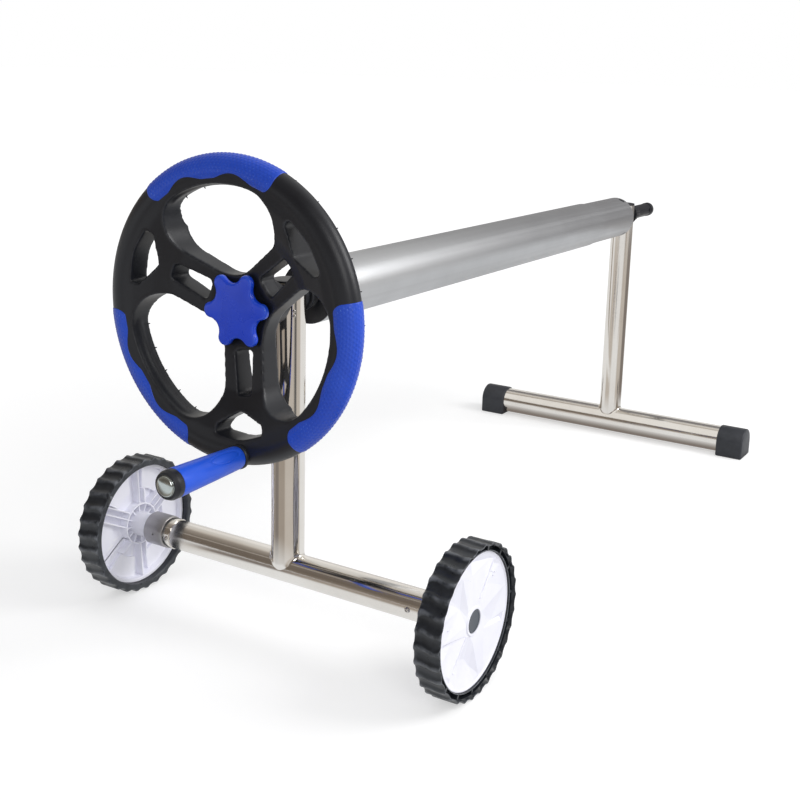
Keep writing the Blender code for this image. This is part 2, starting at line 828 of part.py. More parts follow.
def opening_outline(middle):
    """Half of the outline is worked out beside one spoke, then mirrored."""
    side = math.radians(60)
    along = Vector((math.cos(side), math.sin(side)))
    away = Vector((math.sin(side), -math.cos(side)))
    radius = opening_outer - opening_corner
    offset = spoke_half_width + opening_corner
    corner = along * math.sqrt(radius**2 - offset**2) + away * offset
    root = Vector(((spoke_half_width + opening_root) / math.sin(side), 0))
    half = []
    for step in range(3):
        angle = math.radians(180 - 30 * step / 2)
        half.append(root + opening_root * Vector((math.cos(angle), math.sin(angle))))
    start = math.atan2(-away.y, -away.x)
    finish_angle = math.atan2(corner.y, corner.x)
    for step in range(5):
        angle = start + (finish_angle - start) * step / 4
        half.append(corner + opening_corner * Vector((math.cos(angle), math.sin(angle))))
    beyond = opening_outer + 13 * mm
    for step in range(3):
        angle = finish_angle * (1 - step / 2)
        half.append(beyond * Vector((math.cos(angle), math.sin(angle))))
    lower = [Vector((point.x, -point.y)) for point in reversed(half[1:-1])]
    turn = Matrix.Rotation(math.radians(middle), 2)
    return [tuple(turn @ point) for point in half + lower]


def turned_outline(points, degrees):
    turn = Matrix.Rotation(math.radians(degrees), 2)
    return [tuple(turn @ Vector(point)) for point in points]


def slot_outline(spoke):
    corners = [
        (slot_start, -slot_half_inner, 5 * mm),
        (slot_end, -slot_half_outer, 5 * mm),
        (slot_end, slot_half_outer, 5 * mm),
        (slot_start, slot_half_inner, 5 * mm),
    ]
    return turned_outline(rounded(corners, 2), spoke)


def window_outline(spoke):
    shoulder_x, shoulder_y = polar(window_shoulder, window_half_angle)
    end_x, end_y = polar(window_end, window_half_angle)
    corners = [
        (window_start, 0, 6 * mm),
        (shoulder_x, -shoulder_y, 5 * mm),
        (end_x, -end_y, 4 * mm),
        (window_end, 0, 0.2 * mm),
        (end_x, end_y, 4 * mm),
        (shoulder_x, shoulder_y, 5 * mm),
    ]
    return turned_outline(rounded(corners, 2), spoke)


def hand_wheel():
    """A deep moulding: a dished web cut into three spokes, fused to a round rim."""
    front = hub_forward
    bore = shaft_radius + seat_gap
    edge = rim_centre - 4 * mm
    web = [
        (bore, hub_back),
        (hub_boss_radius - 3 * mm, hub_back),
        (hub_boss_radius + 2 * mm, front - web_depth),
        (slot_end - 7 * mm, front - web_depth + 10 * mm),
        (edge, rim_back + 1.2 * mm),
        (edge, rim_front - 1 * mm),
        (opening_outer - 5.5 * mm, rim_front - 4 * mm),
        (window_start, rim_front - 14 * mm),
        (slot_end - 3 * mm, rim_front - 26 * mm),
        (slot_start + 4 * mm, front + 5 * mm),
        (hub_boss_radius + 6 * mm, front),
        (stud_radius + running_gap, front),
        (stud_radius + running_gap, front - hub_wall),
        (bore, front - hub_wall),
    ]
    body = turned("handwheel_body", web, black_plastic, 24)
    rim = turned("handwheel_rim_shape", rim_profile(), None, 40)
    low, high = 40 * mm, rim_front + 10 * mm
    holes = [prism(f"opening_{n}", opening_outline(a), low, high) for n, a in enumerate(openings)]
    holes += [prism(f"slot_{n}", slot_outline(a), low, high) for n, a in enumerate(spokes)]
    cut(body, place(joined("handwheel_openings", holes), hand_centre, "front"))
    fuse(body, place(rim, hand_centre, "front"))
    windows = [prism(f"window_{n}", window_outline(a), low, high) for n, a in enumerate(spokes)]
    hole_profile = [
        (0, low),
        (spindle_radius + seat_gap, low),
        (spindle_radius + seat_gap, high),
        (0, high),
    ]
    spindle_hole = turned("spindle_hole", hole_profile, None, 16, closed=False)
    spindle_hole.matrix_basis = Matrix.Translation((crank_radius * math.cos(crank_angle), crank_radius * math.sin(crank_angle), 0))
    windows.append(spindle_hole)
    beds = [grip_solid(f"grip_bed_{n}", a, grow=seat_gap) for n, a in enumerate(openings)]
    cut(body, place(joined("handwheel_windows", windows), hand_centre, "front"))
    cut(body, place(joined("handwheel_grip_beds", beds), hand_centre, "front"))
    return place(body, hand_centre, "front")


def grip_solid(name, middle, grow=0.0, finish_material=None):
    """A C-shaped shell on the outer half of the rim, with a wavy inner edge."""
    shape = bmesh.new()
    loops = []
    columns = 10
    half = math.radians(grip_half_angle) + grow / hand_radius
    for column in range(columns + 1):
        share = 2 * column / columns - 1
        angle = math.radians(middle) + half * share
        wave = grip_wave * math.cos(math.radians(share * grip_half_angle) * 360 / 27)
        taper = max(0.0, (abs(share) - 0.88) / 0.12)
        inner = grip_inner_radius - wave + taper * 9 * mm
        loops.append(grip_section(shape, angle, inner, grow))
    count = len(loops[0])
    for before, after in zip(loops, loops[1:]):
        for index in range(count):
            following = (index + 1) % count
            shape.faces.new((before[index], before[following], after[following]))
            shape.faces.new((before[index], after[following], after[index]))
    for loop in (loops[0], loops[-1]):
        for index in range(count // 2 - 1):
            shape.faces.new((loop[index], loop[index + 1], loop[count - 2 - index], loop[count - 1 - index]))
    return finish(name, shape, finish_material)


def grip_section(shape, angle, inner, grow):
    """The corners of one closed loop across the grip, at an angle round the wheel."""
    proud = grip_proud + (grip_thickness if grow else 0)
    sunk = grip_thickness - grip_proud + grow
    limit = math.acos(max(-0.95, min(0.95, (inner - rim_centre) / rim_half_width)))
    leans = [limit * step / 3 for step in range(-3, 4)]
    leans[0] -= 5 * grow / rim_half_width
    leans[-1] += 5 * grow / rim_half_width
    points = []
    for lean in leans:
        high, deep = rim_half_width + proud, rim_half_depth + proud
        points.append((rim_centre + high * math.cos(lean), rim_forward + deep * math.sin(lean)))
    for lean in reversed(leans):
        high, deep = rim_half_width - sunk, rim_half_depth - sunk
        points.append((rim_centre + high * math.cos(lean), rim_forward + deep * math.sin(lean)))
    turn = Matrix.Rotation(angle, 3, "Z")
    return [shape.verts.new(turn @ Vector((radius, 0, depth))) for radius, depth in points]


hand_wheel()
for label, middle in zip(("top", "left", "right"), openings):
    place(grip_solid(f"grip_{label}", middle, finish_material=blue_grip), hand_centre, "front")

# Crank grip
crank_base = (crank_x, drive_y, crank_z)
spindle_tail = rim_back - nut_height - 3 * mm
spindle_profile = [
    (0, spindle_tail),
    (spindle_radius, spindle_tail),
    (spindle_radius, ring_start + ring_length - 4 * mm),
    (0, ring_start + ring_length - 4 * mm),
]
place(turned("crank_spindle", spindle_profile, polished_steel, 16, closed=False), crank_base, "front")

nut_top = rim_back - seat_gap
nut_corners = [polar(nut_radius, 60 * index) for index in range(6)]
nut = prism("crank_spindle_nut", nut_corners, nut_top - nut_height, nut_top, polished_steel)
nut_bore_radius = spindle_radius + seat_gap
nut_bore_profile = [
    (0, nut_top - 2 * nut_height),
    (nut_bore_radius, nut_top - 2 * nut_height),
    (nut_bore_radius, nut_top + nut_height),
    (0, nut_top + nut_height),
]
cut(nut, place(turned("nut_bore", nut_bore_profile, None, 16, closed=False), crank_base, "front"))
place(nut, crank_base, "front")

collar_profile = [
    (spindle_radius + seat_gap, rim_front + seat_gap),
    (sleeve_inner_radius + 1.5 * mm, rim_front + seat_gap),
    (sleeve_inner_radius + 1.5 * mm, rim_front + collar_length * 0.6),
    (sleeve_inner_radius, rim_front + collar_length + seat_gap),
    (spindle_radius + seat_gap, rim_front + collar_length + seat_gap),
]
place(turned("crank_collar", collar_profile, black_plastic, 16), crank_base, "front")

sleeve_bore = spindle_radius + running_gap
sleeve_profile = [
    (sleeve_bore, sleeve_start),
    (sleeve_inner_radius, sleeve_start),
    (sleeve_inner_radius + 1.6 * mm, sleeve_start + sleeve_length * 0.25),
    (sleeve_outer_radius - 0.8 * mm, sleeve_start + sleeve_length * 0.7),
    (sleeve_outer_radius, sleeve_start + sleeve_length),
    (sleeve_bore, sleeve_start + sleeve_length),
]
place(turned("crank_sleeve", sleeve_profile, blue_plastic, 16), crank_base, "front")

recess = dome_radius + running_gap
ring_profile = [
    (sleeve_bore, ring_start),
    (ring_radius + 1 * mm, ring_start),
    (ring_radius + 1 * mm, ring_start + ring_length * 0.6),
    (ring_radius - 1.5 * mm, ring_start + ring_length),
    (recess, ring_start + ring_length),
    (recess, ring_start + ring_length - 7 * mm),
    (sleeve_bore, ring_start + ring_length - 7 * mm),
]
place(turned("crank_end_ring", ring_profile, black_plastic, 16), crank_base, "front")

dome_base = ring_start + ring_length - 3.4 * mm
dome_profile = [(0, dome_base), (dome_radius, dome_base), (dome_radius, ring_start + ring_length)]
for step in range(1, 5):
    lean = math.pi / 2 * step / 4
    dome_profile.append((dome_radius * math.cos(lean), ring_start + ring_length + dome_height * math.sin(lean)))
place(turned("crank_dome_cap", dome_profile, chrome, 16, closed=False), crank_base, "front")

# Star knob
washer_back = hub_forward + seat_gap
washer_profile = [
    (stud_radius + seat_gap, washer_back),
    (washer_radius, washer_back),
    (washer_radius, washer_back + washer_thickness),
    (stud_radius + seat_gap, washer_back + washer_thickness),
]
place(turned("knob_washer", washer_profile, polished_steel), hand_centre, "front")


def star_knob():
    """A six-lobed knob with a rounded edge and a socket for its stud."""
    back = washer_back + washer_thickness + seat_gap
    mean = (knob_tip_radius + knob_valley_radius) / 2
    swing = (knob_tip_radius - knob_valley_radius) / 2
    rings = ((0.9, 0.0), (1.0, 0.16), (1.0, 0.72), (0.93, 0.92), (0.8, 1.0))
    shape = bmesh.new()
    loops = []
    for scale, level in rings:
        verts = []
        for step in range(36):
            angle = math.tau * step / 36
            radius = scale * (mean + swing * math.cos(knob_lobes * (angle - math.radians(knob_phase))))
            height = back + knob_thickness * level
            verts.append(shape.verts.new((radius * math.cos(angle), radius * math.sin(angle), height)))
        loops.append([shape.edges.new((verts[index], verts[(index + 1) % 36])) for index in range(36)])
    for before, after in zip(loops, loops[1:]):
        bmesh.ops.bridge_loops(shape, edges=before + after)
    for loop in (loops[0], loops[-1]):
        bmesh.ops.holes_fill(shape, edges=loop, sides=0)
    knob = finish("star_knob", shape, blue_plastic)
    socket_profile = [
        (0, back - 1 * mm),
        (stud_radius + seat_gap, back - 1 * mm),
        (stud_radius + seat_gap, back + 15 * mm),
        (0, back + 15 * mm),
    ]
    cut(knob, place(turned("knob_socket", socket_profile, None, 16, closed=False), hand_centre, "front"))
    return place(knob, hand_centre, "front")


star_knob()
stud_profile = [
    (0, hub_forward - stud_reach),
    (stud_radius - 1 * mm, hub_forward - stud_reach),
    (stud_radius, hub_forward - stud_reach + 1 * mm),
    (stud_radius, washer_back + washer_thickness + 14 * mm),
    (0, washer_back + washer_thickness + 14 * mm),
]
place(turned("knob_stud", stud_profile, polished_steel, 16, closed=False), hand_centre, "front")
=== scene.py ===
# %% [markdown]
# # Pool cover reel
# This lesson dresses the solid model of a pool cover reel: a long aluminium roller
# between two polished steel T stands, a big three-spoke hand wheel, and two road
# wheels. The solid model is loaded first and stays fixed. Every visible piece is then
# modelled again with smooth surfaces, in metres, in the same frame.

# %% Load the solid model
import math

import bmesh
import bpy
from mathutils import Matrix, Vector, geometry


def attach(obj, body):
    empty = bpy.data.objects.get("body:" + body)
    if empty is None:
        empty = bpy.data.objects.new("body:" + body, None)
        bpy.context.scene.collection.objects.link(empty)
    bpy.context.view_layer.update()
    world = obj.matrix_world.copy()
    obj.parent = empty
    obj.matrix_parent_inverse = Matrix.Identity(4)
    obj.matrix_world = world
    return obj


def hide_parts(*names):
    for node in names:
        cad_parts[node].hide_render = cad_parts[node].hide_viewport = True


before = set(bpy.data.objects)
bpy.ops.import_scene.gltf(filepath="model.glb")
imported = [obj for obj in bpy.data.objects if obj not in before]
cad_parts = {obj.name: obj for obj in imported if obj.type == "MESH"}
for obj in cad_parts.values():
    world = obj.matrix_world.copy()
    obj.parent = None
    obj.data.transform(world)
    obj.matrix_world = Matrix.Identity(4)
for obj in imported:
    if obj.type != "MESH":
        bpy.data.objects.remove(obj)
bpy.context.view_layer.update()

mm = 0.001

# %% [markdown]
# ## Sizes
# The reel stands on the floor at z = 0. X runs across the stands and Y along the
# roller, from the hand wheel to the far stand. These numbers repeat the sizes of the
# solid model, so that a smooth piece lies exactly where its solid is. Only the knob is
# thinner than its solid, because the photograph shows it so.

# %% Main sizes
roller_height = 526 * mm
drive_y, idler_y = -0.5753, 0.7127
axle_height = 111.98 * mm
upright_radius = 25 * mm
upright_top = roller_height + 25 * mm
drive_bar_radius, idler_bar_radius = 23.5 * mm, 29.5 * mm
drive_bar_left, drive_bar_right, idler_bar_half = 225 * mm, 250 * mm, 329 * mm
idler_bar_height = 32.5 * mm
roller_start = drive_y + 48 * mm
roller_end = idler_y - 48 * mm
outer_tube_radius, inner_tube_radius = 46 * mm, 44.3 * mm
outer_tube_length, inner_tube_length = 1004 * mm, 950 * mm
outer_tube_end = roller_start + outer_tube_length
shaft_radius = 15 * mm
wheel_turn = 8
rim_centre, rim_half_width, rim_half_depth = 191 * mm, 21 * mm, 18 * mm
rim_forward = 129.5 * mm
hub_forward = 108 * mm
crank_radius = 196 * mm
rim_front = rim_forward + rim_half_depth
spokes = [wheel_turn - 90 + 120 * index for index in range(3)]
openings = [wheel_turn + 90 + 120 * index for index in range(3)]
on_roller = (0, 0, roller_height)
at_hand_wheel = (0, drive_y, roller_height)
at_road_wheels = (0, drive_y, axle_height)
stands = (("drive", drive_y, "drive_stand"), ("idler", idler_y, "idler_stand"))
print("drive stand at", drive_y, "idler stand at", idler_y)

# %% [markdown]
# ## Ways to shape a piece
# Most parts of the reel were turned, drawn or moulded round, so the first helper spins
# a profile about the local Z axis. A profile point may carry a third number, the radius
# that rounds its corner: real edges are never perfectly sharp, and the rounding is what
# catches the light.

# %% Round corners and spin profiles
def soften(profile, closed=False, steps=4):
    """Points of a profile, with an arc at each corner that gives a radius."""
    points = []
    count = len(profile)
    for index, corner in enumerate(profile):
        here = Vector(corner[:2])
        if len(corner) < 3 or (not closed and index in (0, count - 1)):
            points.append(here)
            continue
        before = Vector(profile[index - 1][:2]) - here
        after = Vector(profile[(index + 1) % count][:2]) - here
        half = before.angle(after) / 2
        reach = min(corner[2] / math.tan(half), before.length * 0.49, after.length * 0.49)
        radius = reach * math.tan(half)
        middle = here + (before.normalized() + after.normalized()).normalized() * radius / math.sin(half)
        first = here + before.normalized() * reach - middle
        sweep = -first.angle_signed(here + after.normalized() * reach - middle)
        for step in range(steps + 1):
            points.append(middle + Matrix.Rotation(sweep * step / steps, 2) @ first)
    return points


def turned(profile, steps=96, closed=False, start=0.0):
    """Spin a profile of (radius, height) points about local Z."""
    shape = bmesh.new()
    turn = Matrix.Rotation(start, 3, "Z")
    points = [shape.verts.new(turn @ Vector((radius, 0, height))) for radius,
              height in soften(profile, closed)]
    pairs = list(zip(points, points[1:])) + ([(points[-1], points[0])] if closed else [])
    edges = [shape.edges.new(pair) for pair in pairs]
    bmesh.ops.spin(shape, geom=points + edges, cent=(0, 0, 0), axis=(0, 0, 1), angle=math.tau, steps=steps,
                   use_merge=True)
    bmesh.ops.remove_doubles(shape, verts=shape.verts, dist=1e-6)
    bmesh.ops.recalc_face_normals(shape, faces=shape.faces)
    return shape


def polar(radius, degrees):
    angle = math.radians(degrees)
    return radius * math.cos(angle), radius * math.sin(angle)


print("profile helpers ready")

# %% [markdown]
# Flat outlines, such as the openings of the hand wheel, are extruded instead. Each
# shape is modelled about the origin and then turned to face its way: "front" points
# local Z at the person who turns the wheel, "back" along the roller, "right" and "left"
# out of the road wheels, where angles run from +Y towards +Z.

# %% Extrude outlines and place shapes
def prism(outline, low, high):
    """Extrude a flat outline from local z = low to high."""
    shape = bmesh.new()
    face = shape.faces.new([shape.verts.new((x, y, low)) for x, y in outline])
    wall = bmesh.ops.extrude_face_region(shape, geom=[face])["geom"]
    bmesh.ops.translate(shape, vec=(0, 0, high - low),
                        verts=[v for v in wall if isinstance(v, bmesh.types.BMVert)])
    bmesh.ops.recalc_face_normals(shape, faces=shape.faces)
    return shape


def block(centre, size, turn=0.0):
    """A box about centre, turned in degrees about local Z round the origin."""
    shape = bmesh.new()
    bmesh.ops.create_cube(shape, size=1.0)
    bmesh.ops.scale(shape, vec=size, verts=shape.verts)
    bmesh.ops.translate(shape, vec=centre, verts=shape.verts)
    bmesh.ops.rotate(shape, cent=(0, 0, 0), matrix=Matrix.Rotation(math.radians(turn), 3, "Z"),
                     verts=shape.verts)
    return shape


facings = {
    "up": Matrix.Identity(3),
    "front": Matrix(((1, 0, 0), (0, 0, -1), (0, 1, 0))),
    "back": Matrix(((0, 1, 0), (0, 0, 1), (1, 0, 0))),
    "right": Matrix(((0, 0, 1), (1, 0, 0), (0, 1, 0))),
    "left": Matrix(((0, 0, -1), (1, 0, 0), (0, 1, 0))),
}


def placed(shape, facing, spot):
    """Turn a shape to its facing and move it to its spot."""
    turn = facings[facing].to_4x4()
    bmesh.ops.transform(shape, matrix=Matrix.Translation(spot) @ turn, verts=shape.verts)
    if turn.determinant() < 0:
        bmesh.ops.reverse_faces(shape, faces=shape.faces)
    return shape


def gathered(shapes):
    """Several shapes as one bmesh."""
    whole = bmesh.new()
    for shape in shapes:
        mesh = bpy.data.meshes.new("gathered")
        shape.to_mesh(mesh)
        shape.free()
        whole.from_mesh(mesh)
        bpy.data.meshes.remove(mesh)
    return whole


print("facings:", ", ".join(facings))

# %% [markdown]
# Cut-outs and joins use Blender's Boolean modifier with the exact solver. The helper
# puts the shapes in helper objects, reads the evaluated result back, and removes the
# helpers, so nothing but finished pieces stays in the scene.

# %% Booleans and finished pieces
def helper_object(shape):
    mesh = bpy.data.meshes.new("helper")
    shape.to_mesh(mesh)
    shape.free()
    made = bpy.data.objects.new("helper", mesh)
    bpy.context.scene.collection.objects.link(made)
    return made


def evaluated(holder):
    """The holder's mesh after its modifiers, as a bmesh. The holder is removed."""
    graph = bpy.context.evaluated_depsgraph_get()
    mesh = bpy.data.meshes.new_from_object(holder.evaluated_get(graph))
    shape = bmesh.new()
    shape.from_mesh(mesh)
    bpy.data.meshes.remove(mesh)
    bpy.data.meshes.remove(holder.data)
    return shape


def combined(shape, tools, operation="DIFFERENCE"):
    """Cut the tools out of a shape, or join them to it."""
    holder = helper_object(shape)
    others = [helper_object(tool) for tool in tools]
    for other in others:
        change = holder.modifiers.new("combine", "BOOLEAN")
        change.operation = operation
        change.solver = "EXACT"
        change.object = other
    made = evaluated(holder)
    for other in others:
        bpy.data.meshes.remove(other.data)
    return made


def piece(name, shape, body, finish, stands_for=(), sharp=32):
    """A finished piece that rides on a body and stands for solids of the model."""
    mesh = bpy.data.meshes.new(name)
    shape.to_mesh(mesh)
    shape.free()
    mesh.shade_smooth()
    mesh.set_sharp_from_angle(angle=math.radians(sharp))
    mesh.materials.append(finish)
    made = bpy.data.objects.new(name, mesh)
    bpy.context.scene.collection.objects.link(made)
    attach(made, body)
    if stands_for:
        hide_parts(*stands_for)
    print(f"{name}: {len(mesh.polygons)} faces")
    return made


print("pieces can be made")

# %% [markdown]
# ## Finishes
# No real surface has one flat colour. Moulded plastic has a fine spark-eroded grain and
# soft patches where it is a little glossier, drawn metal has hair-fine lines along its
# length, and rubber turns grey where it rubs. The blue and white plastics get a painted
# highlight on their sharp edges and pips from the same edge mask. These effects are
# needed in several finishes, so each is a node group with named sockets. All of them
# read Object coordinates, because a piece's object sits at the origin and so the
# pattern stays put.

# %% A group for mottled surfaces
def new_group(name, inputs, outputs):
    group = bpy.data.node_groups.new(name, "ShaderNodeTree")
    for label, kind, value in inputs:
        socket = group.interface.new_socket(name=label, in_out="INPUT", socket_type=kind)
        socket.default_value = value
    for label, kind in outputs:
        group.interface.new_socket(name=label, in_out="OUTPUT", socket_type=kind)
    return group, group.nodes.new("NodeGroupInput"), group.nodes.new("NodeGroupOutput")


def math_node(tree, operation, first, second=None):
    node = tree.nodes.new("ShaderNodeMath")
    node.operation = operation
    for index, value in enumerate((first, second)):
        if isinstance(value, (int, float)):
            node.inputs[index].default_value = value
        elif value is not None:
            tree.links.new(value, node.inputs[index])
    return node.outputs[0]


def noise_node(tree, scale, detail=2.0, rough=0.5, vector=None):
    node = tree.nodes.new("ShaderNodeTexNoise")
    node.inputs["Detail"].default_value = detail
    node.inputs["Roughness"].default_value = rough
    if isinstance(scale, (int, float)):
        node.inputs["Scale"].default_value = scale
    else:
        tree.links.new(scale, node.inputs["Scale"])
    if vector:
        tree.links.new(vector, node.inputs["Vector"])
    return node.outputs["Fac"]


def mix_colours(tree, factor, first, second):
    node = tree.nodes.new("ShaderNodeMix")
    node.data_type = "RGBA"
    tree.links.new(factor, node.inputs["Factor"])
    for socket, value in ((node.inputs[6], first), (node.inputs[7], second)):
        if isinstance(value, tuple):
            socket.default_value = (*value, 1.0)
        else:
            tree.links.new(value, socket)
    return node.outputs[2]


def spread(tree, value, low, high, new_low=0.0, new_high=1.0):
    node = tree.nodes.new("ShaderNodeMapRange")
    node.inputs["From Min"].default_value = low
    node.inputs["From Max"].default_value = high
    node.inputs["To Min"].default_value = new_low
    node.inputs["To Max"].default_value = new_high
    tree.links.new(value, node.inputs["Value"])
    return node.outputs[0]


mottled, entry, leave = new_group(
    "mottled_surface",
    [
        ("Colour", "NodeSocketColor", (0.5, 0.5, 0.5, 1)),
        ("Patch Colour", "NodeSocketColor", (0.4, 0.4, 0.4, 1)),
        ("Patch Scale", "NodeSocketFloat", 14.0),
        ("Grain Scale", "NodeSocketFloat", 900.0),
    ],
    [("Colour", "NodeSocketColor"), ("Patches", "NodeSocketFloat"), ("Grain", "NodeSocketFloat")],
)
where = mottled.nodes.new("ShaderNodeTexCoord").outputs["Object"]
patches = spread(mottled, noise_node(mottled, entry.outputs["Patch Scale"], 5, 0.62, where), 0.33, 0.7)
grain = noise_node(mottled, entry.outputs["Grain Scale"], 3, 0.6, where)
mottled.links.new(mix_colours(mottled, patches, entry.outputs["Colour"], entry.outputs["Patch Colour"]),
                  leave.inputs["Colour"])
mottled.links.new(patches, leave.inputs["Patches"])
mottled.links.new(grain, leave.inputs["Grain"])
print(mottled.name, "has", len(mottled.nodes), "nodes")

# %% [markdown]
# Drawn and extruded metal carries fine lines along its length. Noise that is stretched
# along one axis gives them: the Stretch input is a scale for each axis, small along
# the length and large across it. Lighter edges come from the mesh's own curvature: on
# rubber they stand for wear, on the blue and white plastics they are a painted highlight.

# %% Groups for drawn lines and for edge wear and painted edge highlights
drawn, entry, leave = new_group(
    "drawn_lines",
    [("Stretch", "NodeSocketVector", (900.0, 4.0, 900.0))],
    [("Lines", "NodeSocketFloat"), ("Bands", "NodeSocketFloat")],
)
where = drawn.nodes.new("ShaderNodeTexCoord").outputs["Object"]
stretched = drawn.nodes.new("ShaderNodeVectorMath")
stretched.operation = "MULTIPLY"
drawn.links.new(where, stretched.inputs[0])
drawn.links.new(entry.outputs["Stretch"], stretched.inputs[1])
drawn.links.new(noise_node(drawn, 1.0, 3, 0.7, stretched.outputs[0]), leave.inputs["Lines"])
wide = drawn.nodes.new("ShaderNodeVectorMath")
wide.operation = "SCALE"
wide.inputs["Scale"].default_value = 0.14
drawn.links.new(stretched.outputs[0], wide.inputs[0])
drawn.links.new(noise_node(drawn, 1.0, 2, 0.5, wide.outputs[0]), leave.inputs["Bands"])

# Mask of sharp edges: wear on rubber, a painted highlight on the blue and white plastics.
edge_wear_and_highlight_group, entry, leave = new_group(
    "edge_wear_and_painted_highlight",
    [("Reach", "NodeSocketFloat", 0.06), ("Breakup Scale", "NodeSocketFloat", 60.0)],
    [("Mask", "NodeSocketFloat")],
)
bend = math_node(edge_wear_and_highlight_group, "SUBTRACT", edge_wear_and_highlight_group.nodes.new("ShaderNodeNewGeometry").outputs["Pointiness"], 0.505)
edge = math_node(edge_wear_and_highlight_group, "DIVIDE", bend, entry.outputs["Reach"])
where = edge_wear_and_highlight_group.nodes.new("ShaderNodeTexCoord").outputs["Object"]
breakup = spread(edge_wear_and_highlight_group, noise_node(edge_wear_and_highlight_group, entry.outputs["Breakup Scale"], 4, 0.6, where), 0.35, 0.6)
mask = math_node(edge_wear_and_highlight_group, "MULTIPLY", edge, breakup)
mask.node.use_clamp = True
edge_wear_and_highlight_group.links.new(mask, leave.inputs["Mask"])
print(drawn.name, "and", edge_wear_and_highlight_group.name, "ready")

# %% [markdown]
# One helper puts the groups together with a Principled shader. The colours are linear
# values. Roughness follows the patches, so highlights break up a little, and the grain
# and lines go to a Bump node with a depth in metres.

# %% Build a finish
def make_finish(
    slot, colour, patch_colour, rough, metallic=0.0, patch=14.0, grain=900.0, depth=0.03 * mm,
    lines=None, line_depth=0.01 * mm, edge_wear_and_highlight_colour=None, reach=0.06, coat=0.0, shine=0.5,
):
    made = bpy.data.materials.new(slot)
    made.use_nodes = True
    made["slot"] = slot
    tree = made.node_tree
    shader = tree.nodes["Principled BSDF"]
    shader.inputs["Metallic"].default_value = metallic
    shader.inputs["Specular IOR Level"].default_value = shine
    shader.inputs["Coat Weight"].default_value = coat
    shader.inputs["Coat Roughness"].default_value = 0.12
    base = tree.nodes.new("ShaderNodeGroup")
    base.node_tree = mottled
    base.inputs["Colour"].default_value = (*colour, 1)
    base.inputs["Patch Colour"].default_value = (*patch_colour, 1)
    base.inputs["Patch Scale"].default_value = patch
    base.inputs["Grain Scale"].default_value = grain
    shade, height = base.outputs["Colour"], base.outputs["Grain"]
    roughness = spread(tree, base.outputs["Patches"], 0, 1, *rough)
    bump = tree.nodes.new("ShaderNodeBump")
    bump.inputs["Strength"].default_value = 1.0
    bump.inputs["Distance"].default_value = depth
    if lines:
        along = tree.nodes.new("ShaderNodeGroup")
        along.node_tree = drawn
        along.inputs["Stretch"].default_value = lines
        share = math_node(tree, "MULTIPLY", along.outputs["Lines"], line_depth / depth)
        height = math_node(tree, "ADD", height, share)
        streak = spread(tree, along.outputs["Bands"], 0.3, 0.7, -0.03, 0.05)
        roughness = math_node(tree, "ADD", roughness, streak)
        shade = mix_colours(tree, spread(tree, along.outputs["Bands"], 0.35, 0.75, 0, 0.35), shade,
                            patch_colour)
    # Lighter on sharp edges: wear on rubber, a painted highlight on the blue and white plastics.
    if edge_wear_and_highlight_colour:
        edges = tree.nodes.new("ShaderNodeGroup")
        edges.node_tree = edge_wear_and_highlight_group
        edges.inputs["Reach"].default_value = reach
        shade = mix_colours(tree, edges.outputs["Mask"], shade, edge_wear_and_highlight_colour)
    tree.links.new(shade, shader.inputs["Base Color"])
    tree.links.new(roughness, shader.inputs["Roughness"])
    tree.links.new(height, bump.inputs["Height"])
    tree.links.new(bump.outputs["Normal"], shader.inputs["Normal"])
    return made


steel_colours = (0.82, 0.80, 0.765), (0.75, 0.72, 0.68)
steel_up = make_finish("polished_steel", *steel_colours, (0.06, 0.10), 1.0, 9, 500,
                       0.004 * mm, lines=(700, 700, 5), line_depth=0.003 * mm)
steel_across = make_finish("polished_steel", *steel_colours, (0.10, 0.16), 1.0, 9, 500,
                           0.004 * mm, lines=(5, 700, 700), line_depth=0.006 * mm)
steel_small = make_finish("polished_steel", (0.64, 0.62, 0.60), (0.5, 0.48, 0.46), (0.16, 0.26), 1.0, 60, 900,
                          0.01 * mm)
aluminium = make_finish("satin_aluminium", (0.56, 0.57, 0.585), (0.51, 0.52, 0.535), (0.42, 0.50), 1.0, 7,
                        1100, 0.008 * mm, lines=(900, 3, 900), line_depth=0.01 * mm)
# The chrome's darker grey-green tint is partly its own colour and partly a painted reflection of grey-teal
# surroundings.
chrome = make_finish("chrome", (0.52, 0.57, 0.565), (0.45, 0.50, 0.495), (0.14, 0.22), 1.0, 80, 900,
                     0.004 * mm)
brass = make_finish("brass", (0.72, 0.52, 0.20), (0.60, 0.42, 0.16), (0.25, 0.35), 1.0, 70, 900, 0.01 * mm)
# Black plastic turns a little lighter on its sharp edges.
black_plastic = make_finish("black_plastic", (0.0085, 0.0096, 0.0135), (0.013, 0.0145, 0.0195), (0.34, 0.44),
                            0, 11, 1300, 0.03 * mm, edge_wear_and_highlight_colour=(0.05, 0.053, 0.062), reach=0.10, shine=0.42)
# The grip's pale edge colour paints a highlight on the tips of its pips.
blue_grip = make_finish("blue_grip", (0.008, 0.060, 0.52), (0.012, 0.076, 0.60), (0.34, 0.44), 0, 16, 1500,
                        0.02 * mm, edge_wear_and_highlight_colour=(0.24, 0.44, 1.0), reach=0.012)
# The knob's pale edge colour paints a highlight along its rounded lobes and hollows.
blue_knob = make_finish("blue_plastic", (0.004, 0.044, 0.56), (0.006, 0.054, 0.66), (0.24, 0.32), 0, 22, 1000,
                        0.012 * mm, edge_wear_and_highlight_colour=(0.05, 0.18, 0.80), reach=0.10, coat=0.2)
blue_sleeve = make_finish("blue_plastic", (0.012, 0.098, 0.74), (0.016, 0.110, 0.79), (0.34, 0.42), 0, 24,
                          1200, 0.02 * mm)
